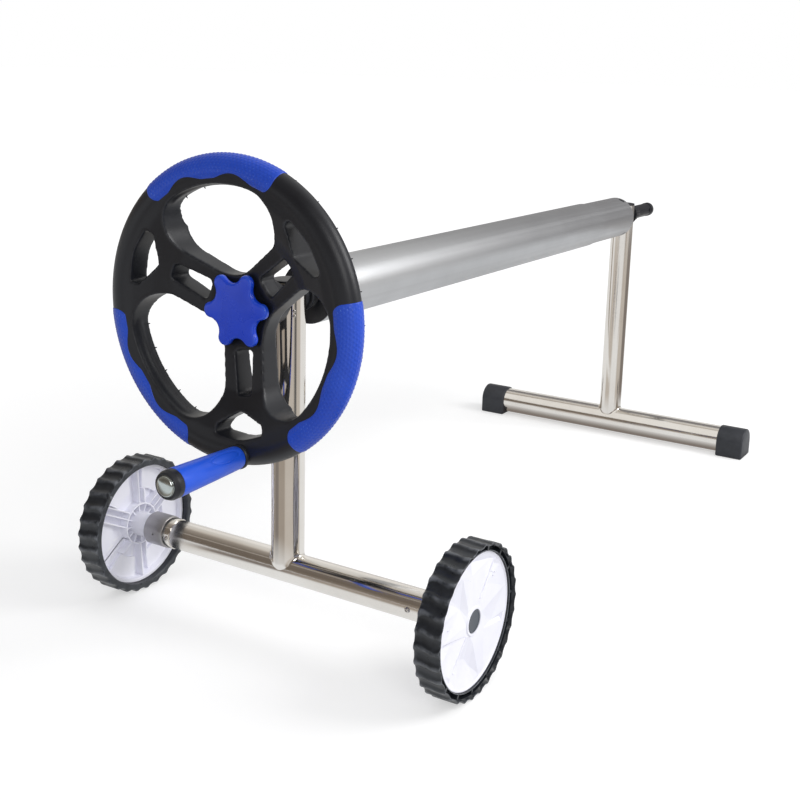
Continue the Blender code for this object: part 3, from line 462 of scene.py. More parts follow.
# The white plastic's edge colour paints a highlight on its ridges and sharp edges.
white_plastic = make_finish("white_plastic", (0.88, 0.88, 0.955), (0.84, 0.84, 0.935), (0.36, 0.46), 0, 18,
                            700, 0.02 * mm, edge_wear_and_highlight_colour=(0.93, 0.93, 0.97), reach=0.15)
tyre_rubber = make_finish("tyre_rubber", (0.010, 0.0125, 0.017), (0.022, 0.026, 0.033), (0.27, 0.42), 0, 70,
                          800, 0.06 * mm, edge_wear_and_highlight_colour=(0.15, 0.16, 0.18), reach=0.035, shine=0.42)
foot_rubber = make_finish("foot_rubber", (0.018, 0.021, 0.028), (0.025, 0.028, 0.036), (0.44, 0.56), 0, 30,
                          1100, 0.04 * mm, edge_wear_and_highlight_colour=(0.07, 0.075, 0.09), reach=0.12)
grey_sleeve = make_finish("grey_plastic", (0.44, 0.43, 0.44), (0.37, 0.36, 0.37), (0.30, 0.38), 0.75, 30, 900,
                          0.015 * mm)
dark_grey = make_finish("dark_grey_plastic", (0.050, 0.060, 0.078), (0.065, 0.077, 0.096), (0.34, 0.46), 0,
                        40, 900, 0.03 * mm)
print("finishes:", len(bpy.data.materials))

# %% [markdown]
# ## The stands
# Each stand is two polished steel tubes. The upright's foot is cut to a saddle that
# hugs the cross tube, and the weld is ground to a smooth fillet. The post is spun from
# a profile whose last rows are only markers; each marked row is then moved onto the
# curve that leads from the upright down to the cross tube.

# %% Uprights with a ground weld
def upright_post(bar_radius, bar_height, place_y):
    rows = 8
    profile = [(0, upright_top), (upright_radius - 1 * mm, upright_top),
               (upright_radius, upright_top - 1 * mm)]
    profile += [(upright_radius, -1.0 - row) for row in range(rows + 1)]
    profile += [(upright_radius * 0.5, -1.0 - rows - 1), (0, -1.0 - rows - 1)]
    shape = turned(profile, 128)
    skirt = upright_radius + 3.2 * mm
    for vertex in shape.verts:
        if vertex.co.z > -0.5:
            continue
        row = round(-vertex.co.z - 1.0)
        angle = math.atan2(vertex.co.y, vertex.co.x)
        side = abs(math.sin(angle))
        drop = 0.25 if bar_radius < upright_radius else 0.08
        lean = math.acos(math.sqrt(1 - (0.93 * side) ** 2) - drop * side**2)
        landing = Vector((skirt * math.cos(angle),
                          math.copysign(bar_radius * math.sin(lean), math.sin(angle)),
                          bar_height + bar_radius * math.cos(lean)))
        tube = Vector((upright_radius * math.cos(angle), upright_radius * math.sin(angle),
                       landing.z + (7 + 3 * side) * mm))
        corner = Vector((tube.x, tube.y, landing.z + (0.6 + 2.2 * side) * mm))
        share = min(row / rows, 1.0)
        spot = tube * (1 - share) ** 2 + corner * 2 * share * (1 - share) + landing * share**2
        if bar_height > 100 * mm and math.cos(angle) < -0.4:
            # A wavy bead is left on one side of the drive post.
            outward = Vector((math.cos(angle), math.sin(angle), 0.6))
            wavy = 0.7 + 0.3 * math.sin(19 * angle)
            spot += outward * 1.5 * mm * math.sin(math.pi * share) ** 2 * wavy
        if row > rows:
            inward = 0.5 if vertex.co.xy.length > 1e-5 else 0.0
            spot = Vector((landing.x * inward, landing.y * inward, bar_height))
        vertex.co = spot
    bmesh.ops.translate(shape, vec=(0, place_y, 0), verts=shape.verts)
    return shape


piece("drive_post", upright_post(drive_bar_radius, axle_height, drive_y), "drive_stand", steel_up,
      ["drive_upright"])
piece("idler_post", upright_post(idler_bar_radius, idler_bar_height, idler_y), "idler_stand", steel_up,
      ["idler_upright"])


def bar(radius, low, high, spot):
    wall = [(radius, low, 0.5 * mm), (radius, high, 0.5 * mm), (radius - 1.5 * mm, high, 0.3 * mm),
            (radius - 1.5 * mm, low, 0.3 * mm)]
    return placed(turned(wall, 128, closed=True), "right", spot)


piece("drive_bar", bar(drive_bar_radius, -drive_bar_left, drive_bar_right, at_road_wheels), "drive_stand",
      steel_across, ["drive_cross_tube"])
piece("idler_bar", bar(idler_bar_radius, -idler_bar_half, idler_bar_half, (0, idler_y, idler_bar_height)),
      "idler_stand", steel_across, ["idler_cross_tube"])

# %% [markdown]
# Plastic caps close the tops of the uprights, and flanged bushes carry the roller's
# shaft. The far bush has a black cone that shows beside the roller in the photograph.

# %% Caps and bushes
for name, place_y, body in stands:
    cap = [(0, -3.5 * mm), (23.2 * mm, -3.5 * mm), (23.2 * mm, 0.3 * mm), (25 * mm, 0.3 * mm, 0.2 * mm),
           (25 * mm, 2.4 * mm, 1.6 * mm), (21 * mm, 3 * mm, 3 * mm), (0, 3 * mm)]
    shape = placed(turned(cap, 96), "up", (0, place_y, upright_top))
    piece(f"{name}_top_cap", shape, body, black_plastic, [f"{name}_upright_cap"])
    for side in ("front", "back"):
        bore, face = 15.35 * mm, 25.3 * mm
        ring = [(bore, 2 * mm), (19.7 * mm, 2 * mm), (19.7 * mm, face), (24 * mm, face, 0.5 * mm)]
        if name == "idler" and side == "back":
            ring += [(24 * mm, face + 3.2 * mm, 1 * mm), (22.6 * mm, face + 5 * mm, 1 * mm),
                     (18 * mm, face + 14 * mm, 1 * mm), (bore, face + 14 * mm, 0.4 * mm)]
        else:
            ring += [(24 * mm, face + 5 * mm, 1.4 * mm), (bore, face + 5 * mm, 0.6 * mm)]
        shape = placed(turned(ring, 72, closed=True), side, (0, place_y, roller_height))
        piece(f"{name}_bearing_{side}", shape, body, black_plastic, [f"{name}_bush_{side}"])

# %% [markdown]
# ## Screws and rivets
# A screw head is a low dome with a cross cut into it, and a blind rivet is a dome with
# a hole where its pin broke off. Both are spun, and the cross is a Boolean.

# %% Fastener heads
def screw_head(radius, height):
    dome = [(0, 0.3 * mm), (radius, 0.3 * mm), (radius, height * 0.35, radius * 0.1),
            (radius * 0.72, height * 0.9, radius * 0.5), (0, height)]
    shape = turned(dome, 40)
    arms = [block((0, 0, height), (radius * 1.2, radius * 0.24, height * 1.1), turn) for turn in (0, 90)]
    return combined(shape, arms)


def rivet_head(radius, height):
    dome = [(0, height * 0.3), (radius * 0.3, height * 0.3, radius * 0.08),
            (radius * 0.36, height, radius * 0.1), (radius * 0.7, height * 0.85, radius * 0.4),
            (radius, 0.3 * mm), (0, 0.3 * mm)]
    return turned(dome, 40)


def aimed(shape, base, outward):
    turn = Vector(outward).to_track_quat("Z", "Y").to_matrix().to_4x4()
    bmesh.ops.transform(shape, matrix=Matrix.Translation(base) @ turn, verts=shape.verts)
    return shape


for name, place_y, body in stands:
    x, y = polar(upright_radius, -35)
    for label, drop in (("upper", 15 * mm), ("lower", 22 * mm)):
        shape = aimed(screw_head(2.4 * mm, 1.4 * mm), (x, place_y + y, roller_height - drop), (x, y, 0))
        piece(f"{name}_locking_screw_{label}", shape, body, steel_small, [f"{name}_bush_screw_{label}"])
bar_front = drive_y - drive_bar_radius
shape = aimed(rivet_head(4.5 * mm, 2.6 * mm), (226 * mm, bar_front, axle_height), (0, -1, 0))
piece("right_bar_rivet", shape, "drive_stand", steel_small, ["bar_rivet_right"])
for number, degrees in enumerate((90, 210, 330), 1):
    x, z = polar(46 * mm, degrees)
    shape = aimed(screw_head(3.6 * mm, 1.9 * mm), (x, roller_start + 20 * mm, roller_height + z), (x, 0, z))
    piece(f"plug_screw_{number}", shape, "roller", steel_small, [f"drive_plug_screw_{number}"])

# %% [markdown]
# ## Sleeves and axles
# Metallic grey sleeves plug into the ends of the drive stand's cross tube. On the left
# a thin steel band with a slanted edge covers the joint, and the screw sits on it.
# The axles and clips keep the solid model's meshes and only get their finish.

# %% Axle sleeves
def axle_sleeve(shoulder):
    end = 270.65 * mm
    ring = [(8.3 * mm, shoulder - 22 * mm), (21.7 * mm, shoulder - 22 * mm), (21.7 * mm, shoulder),
            (24.6 * mm, shoulder), (26 * mm, shoulder, 1.0 * mm), (26 * mm, end, 1.5 * mm),
            (24.6 * mm, end + 0.2 * mm, 0.4 * mm), (8.3 * mm, end + 0.2 * mm, 0.4 * mm)]
    return turned(ring, 144, closed=True)


def sleeve_collar(start, end):
    ring = [(23.6 * mm, start), (24.7 * mm, start, 0.8 * mm), (24.7 * mm, end), (23.6 * mm, end)]
    shape = turned(ring, 144, closed=True)
    for vertex in shape.verts:
        if vertex.co.z < start + 2 * mm:
            vertex.co.z -= 1.5 * mm * vertex.co.y / (25 * mm)
    return shape


hole = aimed(turned([(0, -3 * mm), (1.7 * mm, -3 * mm), (1.7 * mm, 2 * mm), (0, 2 * mm)], 24),
             (-250.5 * mm, drive_y - 26 * mm, axle_height + 0.8 * mm), (0, -1, 0))
shape = combined(placed(axle_sleeve(233.5 * mm), "left", at_road_wheels), [hole])
piece("left_sleeve", shape, "drive_stand", grey_sleeve, ["axle_sleeve_left"])
shape = placed(sleeve_collar(219 * mm, 233.4 * mm), "left", at_road_wheels)
piece("left_sleeve_collar", shape, "drive_stand", steel_across)
piece("right_sleeve", placed(axle_sleeve(250.3 * mm), "right", at_road_wheels), "drive_stand", grey_sleeve,
      ["axle_sleeve_right"])
for side in ("left", "right"):
    for node in (f"axle_{side}", f"axle_clip_{side}"):
        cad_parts[node].data.materials.clear()
        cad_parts[node].data.materials.append(steel_small)
shape = aimed(screw_head(4.5 * mm, 2.6 * mm), (-223.5 * mm, bar_front - 1.0 * mm, axle_height - 0.5 * mm),
              (0, -1, 0))
piece("left_sleeve_screw", shape, "drive_stand", steel_small, ["bar_screw_left"])

# %% [markdown]
# ## Rubber feet
# The far stand rests on two rubber feet. Their section is an arch over a flat sole.
# The outline starts as a circle whose lower half is pushed out to a square, and the
# solid gets its soft edges from bevel before the socket for the tube is cut.

# %% Feet
def rubber_foot(facing):
    half, start, end = 32.5 * mm, 272.3 * mm, 332.3 * mm
    shape = bmesh.new()
    bmesh.ops.create_circle(shape, cap_ends=True, radius=half, segments=96)
    for vertex in shape.verts:
        if vertex.co.y < 0:
            stretch = half / max(abs(vertex.co.x), abs(vertex.co.y))
            vertex.co.x *= stretch
            vertex.co.y *= stretch
    wall = bmesh.ops.extrude_face_region(shape, geom=shape.faces[:])["geom"]
    bmesh.ops.translate(shape, vec=(0, 0, end - start),
                        verts=[v for v in wall if isinstance(v, bmesh.types.BMVert)])
    bmesh.ops.recalc_face_normals(shape, faces=shape.faces)
    sharp = [edge for edge in shape.edges if edge.is_manifold and edge.calc_face_angle() > math.radians(50)]
    bmesh.ops.bevel(shape, geom=sharp, offset=3.2 * mm, affect="EDGES", segments=4, profile=0.5, material=-1)
    bmesh.ops.translate(shape, vec=(0, 0, start), verts=shape.verts)
    socket = turned([(0, 0), (29.8 * mm, 0), (29.8 * mm, 329.3 * mm), (0, 329.3 * mm)], 128)
    return placed(combined(shape, [socket]), facing, (0, idler_y, idler_bar_height))


for side in ("left", "right"):
    piece(f"rubber_foot_{side}", rubber_foot(side), "idler_stand", foot_rubber, [f"foot_{side}"])

# %% [markdown]
# ## The roller
# Two aluminium tubes slide in one another. Black plugs close them and carry the shafts.
# Three holes near the far end of the inner tube show the plug's snap buttons.

# %% Tubes
def tube(radius, start, end):
    wall = [(radius, start, 0.4 * mm), (radius, end, 0.4 * mm), (radius - 1.3 * mm, end, 0.3 * mm),
            (radius - 1.3 * mm, start, 0.3 * mm)]
    return turned(wall, 160, closed=True)


button_y = roller_end - 13 * mm
button_angles = (66, -54, 186)
outer = placed(tube(outer_tube_radius, roller_start, outer_tube_end), "back", on_roller)
piece("outer_roller_tube", outer, "roller", aluminium, ["outer_tube"])
inner = placed(tube(inner_tube_radius, roller_end - inner_tube_length, roller_end), "back", on_roller)
holes = []
for degrees in button_angles:
    x, z = polar(1, degrees)
    holes.append(aimed(turned([(0, 20 * mm), (7 * mm, 20 * mm), (7 * mm, 60 * mm), (0, 60 * mm)], 48),
                       (0, button_y, roller_height), (x, 0, z)))
piece("inner_roller_tube", combined(inner, holes), "roller_inner", aluminium, ["inner_tube"])

# %% [markdown]
# Each tube is closed by a black plug that also carries a shaft. The two seem to be one
# moulding on the real reel, so one profile is spun for both. The flats of the far shaft
# and the snap buttons are Booleans. The ribs of the crown ring come from moving the
# points of a plain ring in and out in twenty waves.

# %% Plugs, shafts and buttons
shaft_front = drive_y - hub_forward + 6.3 * mm
plug = [(0, shaft_front + 25 * mm), (8.3 * mm, shaft_front + 25 * mm), (8.3 * mm, shaft_front),
        (shaft_radius, shaft_front, 0.6 * mm), (shaft_radius, roller_start - 7.5 * mm, 2 * mm),
        (21 * mm, roller_start - 3.5 * mm, 1 * mm), (46 * mm, roller_start - 3.5 * mm, 1 * mm),
        (46 * mm, roller_start - 0.3 * mm), (44.4 * mm, roller_start - 0.3 * mm),
        (44.4 * mm, roller_start + 42 * mm), (0, roller_start + 42 * mm)]
piece("drive_plug", placed(turned(plug, 96), "back", on_roller), "roller", black_plastic, ["drive_end_plug"])

shaft_end = idler_y + 160 * mm
plug = [(0, roller_end - 42 * mm), (42.7 * mm, roller_end - 42 * mm),
        (42.7 * mm, roller_end - 0.5 * mm, 0.8 * mm), (21 * mm, roller_end - 0.5 * mm, 1 * mm),
        (shaft_radius, roller_end + 4 * mm, 2 * mm), (shaft_radius, shaft_end - 15 * mm),
        (16 * mm, shaft_end - 15 * mm, 0.5 * mm), (16 * mm, shaft_end, 1.5 * mm),
        (6 * mm, shaft_end, 0.6 * mm), (5.4 * mm, shaft_end - 1 * mm, 0.4 * mm), (0, shaft_end - 1 * mm)]
flat_start, flat_end = idler_y + 76 * mm, shaft_end - 23 * mm
flats = [block((0, sign * 18.5 * mm, (flat_start + flat_end) / 2), (40 * mm, 10 * mm, flat_end - flat_start))
         for sign in (-1, 1)]
shape = placed(combined(turned(plug, 96), flats), "back", on_roller)
buttons = []
for degrees in button_angles:
    x, z = polar(1, degrees)
    peg = turned([(0, 36 * mm), (6.7 * mm, 36 * mm), (6.7 * mm, 43.9 * mm, 1 * mm), (0, 44.2 * mm)], 40)
    buttons.append(aimed(peg, (0, button_y, roller_height), (x, 0, z)))
piece("idler_plug", combined(shape, buttons, "UNION"), "roller_inner", black_plastic, ["idler_end_plug"])

low, high = idler_y + 40 * mm, idler_y + 64 * mm
crown = turned([(15.3 * mm, low), (18 * mm, low, 0.8 * mm), (18 * mm, high, 0.8 * mm), (15.3 * mm, high)],
               160, closed=True)
for vertex in crown.verts:
    radius = vertex.co.xy.length
    if radius > 16.4 * mm:
        wave = max(0.0, math.cos(20 * math.atan2(vertex.co.y, vertex.co.x)))
        vertex.co.xy *= 1 - 1.2 * mm * (1 - wave) / radius
piece("crown_ring", placed(crown, "back", on_roller), "roller_inner", black_plastic, ["idler_crown_ring"])
for node, finish in (("telescope_bush", black_plastic), ("shaft_insert", brass)):
    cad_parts[node].data.materials.clear()
    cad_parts[node].data.materials.append(finish)

# %% [markdown]
# ## Tyres
# The tyre's section is spun in 360 steps of one degree, so 30 lugs take 12 steps each
# and a pocket 22. The tread is then swollen into rounded lugs that wrap over both
# shoulders, and faces of the outer wall are extruded inwards as the 15 open pockets.

# %% Tyres with lugs and pockets
def tyre(crest_radius, phase, pocket_phase):
    valley = crest_radius - 3.3 * mm
    inner_face, outer_face, rib_face, seat = 288 * mm, 328.9 * mm, 324.2 * mm, 97.3 * mm
    section = [(98.9 * mm, inner_face + 14 * mm), (98.9 * mm, inner_face + 1.5 * mm, 1 * mm),
               (100.5 * mm, inner_face, 1 * mm)]
    section += [(valley - 0.9 * mm, inner_face + 0.3 * mm, 2.2 * mm)]
    section += [(valley, inner_face + width * mm) for width in (3, 8, 14, 20.5, 27, 33, 37.6)]
    section += [(valley - 0.3 * mm, outer_face - 0.2 * mm, 1.2 * mm), (107.5 * mm, outer_face, 0.4 * mm),
                (107.1 * mm, rib_face), (100.0 * mm, rib_face), (98.9 * mm, rib_face - 0.2 * mm, 0.6 * mm),
                (98.9 * mm, 316 * mm), (seat, 316 * mm), (seat, inner_face + 14 * mm)]
    shape = turned(section, 360, closed=True, start=math.radians(pocket_phase))
    for vertex in shape.verts:
        radius = vertex.co.xy.length
        if radius < 104.5 * mm or (radius < 107.3 * mm and vertex.co.z > rib_face - 1 * mm):
            continue
        angle = math.degrees(math.atan2(vertex.co.y, vertex.co.x))
        along = (vertex.co.z - inner_face) / (outer_face - inner_face)
        skew = 0.9 * math.sin(math.tau * along) + 0.35 * math.sin(9 * math.tau * along + angle)
        swell = 0.5 + 0.5 * math.cos(math.radians(360 / 12) * (angle - phase + skew))
        share = min(1.0, max(0.0, (radius - 104.5 * mm) / (valley - 105.5 * mm)))
        vertex.co.xy *= 1 + share * (crest_radius - valley) * swell**1.9 / radius
    wall = [face for face in shape.faces if face.normal.z > 0.9
            and abs(face.calc_center_median().z - rib_face) < 0.2 * mm]
    wall = [face for face in wall if 101.5 * mm < face.calc_center_median().xy.length < 106.2 * mm]
    pockets = []
    for face in wall:
        centre = face.calc_center_median()
        angle = (math.degrees(math.atan2(centre.y, centre.x)) - pocket_phase) % 24
        if 1 < angle < 23:
            pockets.append(face)
    bmesh.ops.inset_region(shape, faces=pockets, thickness=0.35 * mm, depth=-0.3 * mm, use_even_offset=True)
    walls = bmesh.ops.extrude_face_region(shape, geom=pockets)["geom"]
    bmesh.ops.translate(shape, vec=(0, 0, -9.5 * mm),
                        verts=[v for v in walls if isinstance(v, bmesh.types.BMVert)])
    bmesh.ops.delete(shape, geom=[face for face in pockets if face.is_valid], context="FACES_KEEP_BOUNDARY")
    return shape


for side, crest, phase in (("left", 111.85 * mm, 6), ("right", 112.4 * mm, 0)):
    shape = placed(tyre(crest, phase, 3.4), side, at_road_wheels)
    piece(f"{side}_tyre", shape, f"wheel_{side}", tyre_rubber, [f"tyre_{side}"], sharp=40)

# %% [markdown]
# ## Wheel discs
# The outer face of the white discs carries a folded relief: three long creases that
# pass beside the hub, with sunken facets next to them. The face is drawn flat as a net
# of points and creases, triangulated so that every crease stays an edge, and each point
# then gets its own height. The rest of the disc is spun, and ribs are joined behind it.

# %% The relief of the outer face
face_level, rim_level = 319.4 * mm, 321.4 * mm
relief_points = {
    "a_in": (14, 29, 0.3), "a_out": (54, 75, 1.6), "a_low": (55, 66, -3.4), "a_mid": (36, 43, -2.6),
    "b_in": (-22, -15, 0.3), "b_out": (-66, -57, 1.6), "b_low": (-59, -64, -3.4), "b_mid": (-41, -42, -2.6),
    "t_out": (-38, 77, 1.0), "t_in": (-19, 25, 0.8), "t_deep": (-60, 49, -5.4), "t_low": (-33, 29, -5.0),
    "u_in": (-1, -34, 0.8), "u_out": (18, -87, 1.0), "u_deep": (-15, -52, -5.4), "u_low": (-2, -68, -4.6),
    "c_in": (-24, -12, 0.6), "c_out": (-85, 0, 1.0), "c_low": (-83, -8, -5.0), "c_mid": (-52, -10, -4.2),
    "d_in": (30, -23, 0.0), "d_out": (87, -33, 0.4), "d_low": (86, -28, -4.6), "d_mid": (58, -23, -3.6),
    "e_left": (-10, 71, 0.4), "e_top": (-6, 88, -4.2), "e_right": (44, 77, -2.6),
}
relief_creases = [("a_in", "a_out"), ("a_out", "a_low"), ("a_low", "a_mid"), ("a_mid", "a_in"),
                  ("b_in", "b_out"), ("b_out", "b_low"), ("b_low", "b_mid"), ("b_mid", "b_in"),
                  ("t_in", "t_out"), ("t_out", "t_deep"), ("t_deep", "t_low"), ("t_low", "t_in"),
                  ("u_in", "u_out"), ("u_out", "u_low"), ("u_low", "u_deep"), ("u_deep", "u_in"),
                  ("c_in", "c_out"), ("c_out", "c_low"), ("c_low", "c_mid"), ("c_mid", "c_in"),
                  ("d_in", "d_out"), ("d_out", "d_low"), ("d_low", "d_mid"), ("d_mid", "d_in"),
                  ("e_left", "e_top"), ("e_top", "e_right"), ("e_left", "e_right")]


def relief_face(inner, outer, steps):
    """The outer face between two circles, as a folded net."""
    flat, edges, heights = [], [], []
    for radius in (inner, outer):
        first = len(flat)
        for step in range(steps):
            flat.append(Vector(polar(radius, 360 * step / steps)))
            heights.append(0.0)
            edges.append((first + step, first + (step + 1) % steps))
    names = {}
    for name, (y, z, height) in relief_points.items():
        names[name] = len(flat)
        flat.append(Vector((y, z)) * mm)
        heights.append(height * mm)
    edges += [(names[a], names[b]) for a, b in relief_creases]
    points, _, triangles, origins, _, _ = geometry.delaunay_2d_cdt(flat, edges, [], 1, 1e-7)
    shape = bmesh.new()
    made = []
    for point, origin in zip(points, origins):
        height = heights[origin[0]] if origin else 0.0
        made.append(shape.verts.new((point.x, point.y, face_level + height)))
    for triangle in triangles:
        middle = sum((points[index] for index in triangle), Vector((0, 0))) / 3
        if middle.length > inner * 0.99:
            shape.faces.new([made[index] for index in triangle])
    bmesh.ops.recalc_face_normals(shape, faces=shape.faces)
    return shape


print("relief drawn with", len(relief_points), "points")

# %% [markdown]
# Behind the face the disc is a shallow dish with ribs, which stiffen the thin plastic.
# The dish is one spun profile, sewn to the folded face by merging the points that lie
# on each other. Ribs, two raised ridges and eight small dots are blocks and pegs joined
# by a Boolean, so that the moulding stays one closed piece.

# %% The disc and its ribs
def wheel_disc():
    steps = 144
    lip = 298.7 * mm
    floor = 313.5 * mm
    # One open profile from the face's inner circle through the bore to its outer circle.
    profile = [(21.5 * mm, face_level), (20.6 * mm, 321.1 * mm, 0.8 * mm), (17.3 * mm, 321.1 * mm, 0.5 * mm),
               (17.3 * mm, 316.7 * mm), (13 * mm, 316.7 * mm), (13 * mm, 310.7 * mm), (8.35 * mm, 310.7 * mm),
               (8.35 * mm, 271 * mm), (20 * mm, 271 * mm, 1 * mm), (20 * mm, floor, 1.5 * mm),
               (31.5 * mm, floor, 1.5 * mm), (32.2 * mm, lip, 0.6 * mm), (34.4 * mm, lip, 0.6 * mm),
               (35 * mm, floor, 1.5 * mm), (91.0 * mm, floor, 2.5 * mm),
               (93.2 * mm, lip + 0.3 * mm, 0.8 * mm), (98.6 * mm, lip - 0.2 * mm, 0.8 * mm),
               (98.6 * mm, lip + 2.5 * mm), (97 * mm, lip + 2.5 * mm), (97 * mm, 317.5 * mm),
               (98.6 * mm, 317.5 * mm), (98.6 * mm, rim_level, 0.8 * mm), (96.2 * mm, rim_level, 0.8 * mm),
               (95 * mm, face_level + 0.8 * mm, 0.8 * mm), (92 * mm, face_level)]
    shape = turned(profile, steps)
    face = relief_face(21.5 * mm, 92 * mm, steps)
    whole = gathered([shape, face])
    bmesh.ops.remove_doubles(whole, verts=whole.verts, dist=2e-6)
    bmesh.ops.recalc_face_normals(whole, faces=whole.faces)
    ribs = []
    top = lip + 1.4 * mm
    middle, tall = (top + floor + 1 * mm) / 2, floor + 1 * mm - top
    for turn, shifts in ((33, (-12, 0, 11)), (93, (0, 12)), (153, (-13, 0, 11)), (213, (-10.5, 0)),
                         (273, (-8, 3.5)), (333, (-12, 0, 11))):
        for number, shift in enumerate(shifts):
            long = shift == 0 or turn in (33, 153, 333) or (turn == 273 and number == 1)
            first = math.sqrt((33.5 * mm) ** 2 - (shift * mm) ** 2)
            last = math.sqrt((92.2 * mm) ** 2 - (shift * mm) ** 2) if long else 57 * mm
            ribs.append(block(((first + last) / 2, -shift * mm, middle), (last - first, 2 * mm, tall), turn))
    for step in range(12):
        ribs.append(block((26.2 * mm, 0, middle + 0.8 * mm), (13.4 * mm, 1.8 * mm, tall - 1.6 * mm),
                          30 * step + 3))
    for turn in (63, 123, 183, 243, 303, 3):
        outline = [polar(92 * mm, turn + 20 * share) for share in (1, 0.5, 0, -0.5, -1)]
        outline += [polar(57.5 * mm, turn + 17 * share) for share in (-1, -0.5, 0, 0.5, 1)]
        ribs.append(prism(outline, floor - 6.2 * mm, floor + 1 * mm))
    for crease in relief_creases[0], relief_creases[4]:
        first, last = (Vector(relief_points[name][:2]) * mm for name in crease)
        across = (last - first).orthogonal().normalized() * 0.8 * mm
        ribs.append(prism([first - across, last - across, last + across, first + across], face_level - 2 * mm,
                          face_level + 1.9 * mm))
    dot = [(0, -2 * mm), (1.1 * mm, -2 * mm), (1.1 * mm, 0.9 * mm, 0.3 * mm), (0, 1 * mm)]
    dots_at = ((-15.7, 65.6), (57.7, 52.5), (-22, 69), (50, 56), (54, 48), (-56, -48), (-54, -55), (-72, 15))
    for y, z in dots_at:
        ribs.append(aimed(turned(dot, 12), (y * mm, z * mm, face_level), (0, 0, 1)))
    return combined(whole, ribs, "UNION")


for side in ("left", "right"):
    disc = piece(f"{side}_wheel", placed(wheel_disc(), side, at_road_wheels), f"wheel_{side}", white_plastic,
                 [f"wheel_disc_{side}"])
    for edge in disc.data.edges:
        centre = sum((disc.data.vertices[index].co for index in edge.vertices), Vector()) / 2
        reach = math.hypot(centre.y - drive_y, centre.z - axle_height)
        if abs(centre.x) > 313 * mm and 22 * mm < reach < 91.5 * mm:
            edge.use_edge_sharp = True
    cap = [(0, 319 * mm), (9 * mm, 319 * mm), (11 * mm, 317 * mm), (17 * mm, 317 * mm),
           (17 * mm, 320.3 * mm, 1.2 * mm), (14.6 * mm, 320.5 * mm, 0.8 * mm),
           (13.6 * mm, 319.9 * mm, 1 * mm), (0, 319.7 * mm)]
    piece(f"{side}_hub_cap", placed(turned(cap, 72), side, at_road_wheels), f"wheel_{side}", dark_grey,
          [f"hub_cap_{side}"])

# %% [markdown]
# ## The hand wheel
# The hand wheel is one deep moulding. Its web is a spun dish with openings, slots and
# windows cut through it, and the rim is a spun ring joined to it. Every edge of the real
# moulding is softly rounded, so the joined shape is remeshed into even small faces and
# smoothed a little, which rounds all edges at once.

# %% Outlines of the openings
def opening_outline(middle):
    side = math.radians(60)
    along = Vector((math.cos(side), math.sin(side)))
    away = Vector((math.sin(side), -math.cos(side)))
    corner_radius, root_radius, outer, half_spoke = 44.5 * mm, 54.5 * mm, 172.5 * mm, 34 * mm
    radius, offset = outer - corner_radius, half_spoke + corner_radius
    corner = along * math.sqrt(radius**2 - offset**2) + away * offset
    root = Vector(((half_spoke + root_radius) / math.sin(side), 0))
    half = [root + root_radius * Vector(polar(1, 180 - 30 * step / 6)) for step in range(7)]
    start = math.degrees(math.atan2(-away.y, -away.x))
    finish = math.degrees(math.atan2(corner.y, corner.x))
    half += [corner + corner_radius * Vector(polar(1, start + (finish - start) * step / 14))
             for step in range(15)]
    half += [outer * Vector(polar(1, finish * (1 - step / 10))) for step in range(1, 11)]
    lower = [Vector((point.x, -point.y)) for point in reversed(half[1:-1])]
    turn = Matrix.Rotation(math.radians(middle), 2)
    return [tuple(turn @ point) for point in half + lower]


def turned_outline(corners, degrees):
    turn = Matrix.Rotation(math.radians(degrees), 2)
    return [tuple(turn @ point) for point in soften(corners, closed=True, steps=5)]


def slot_outline(spoke):
    return turned_outline([(56 * mm, -15.5 * mm, 5 * mm), (117 * mm, -11.5 * mm, 5 * mm),
                           (117 * mm, 11.5 * mm, 5 * mm), (56 * mm, 15.5 * mm, 5 * mm)], spoke)


def window_outline(spoke):
    shoulder_x, shoulder_y = polar(158.5 * mm, 14)
    end_x, end_y = polar(171.5 * mm, 14)
    return turned_outline([(136.5 * mm, 0, 6 * mm), (shoulder_x, -shoulder_y, 5 * mm),
                           (end_x, -end_y, 5 * mm), (175.5 * mm, 0, 60 * mm), (end_x, end_y, 5 * mm),
                           (shoulder_x, shoulder_y, 5 * mm)], spoke)


print("outline points:", len(opening_outline(90)), len(slot_outline(0)), len(window_outline(0)))

# %% [markdown]
# The order of the cuts matters. The large openings and the slots are cut before the rim
# is joined, so that they leave the rim whole. The windows are cut after it, because
# they reach into the rim.

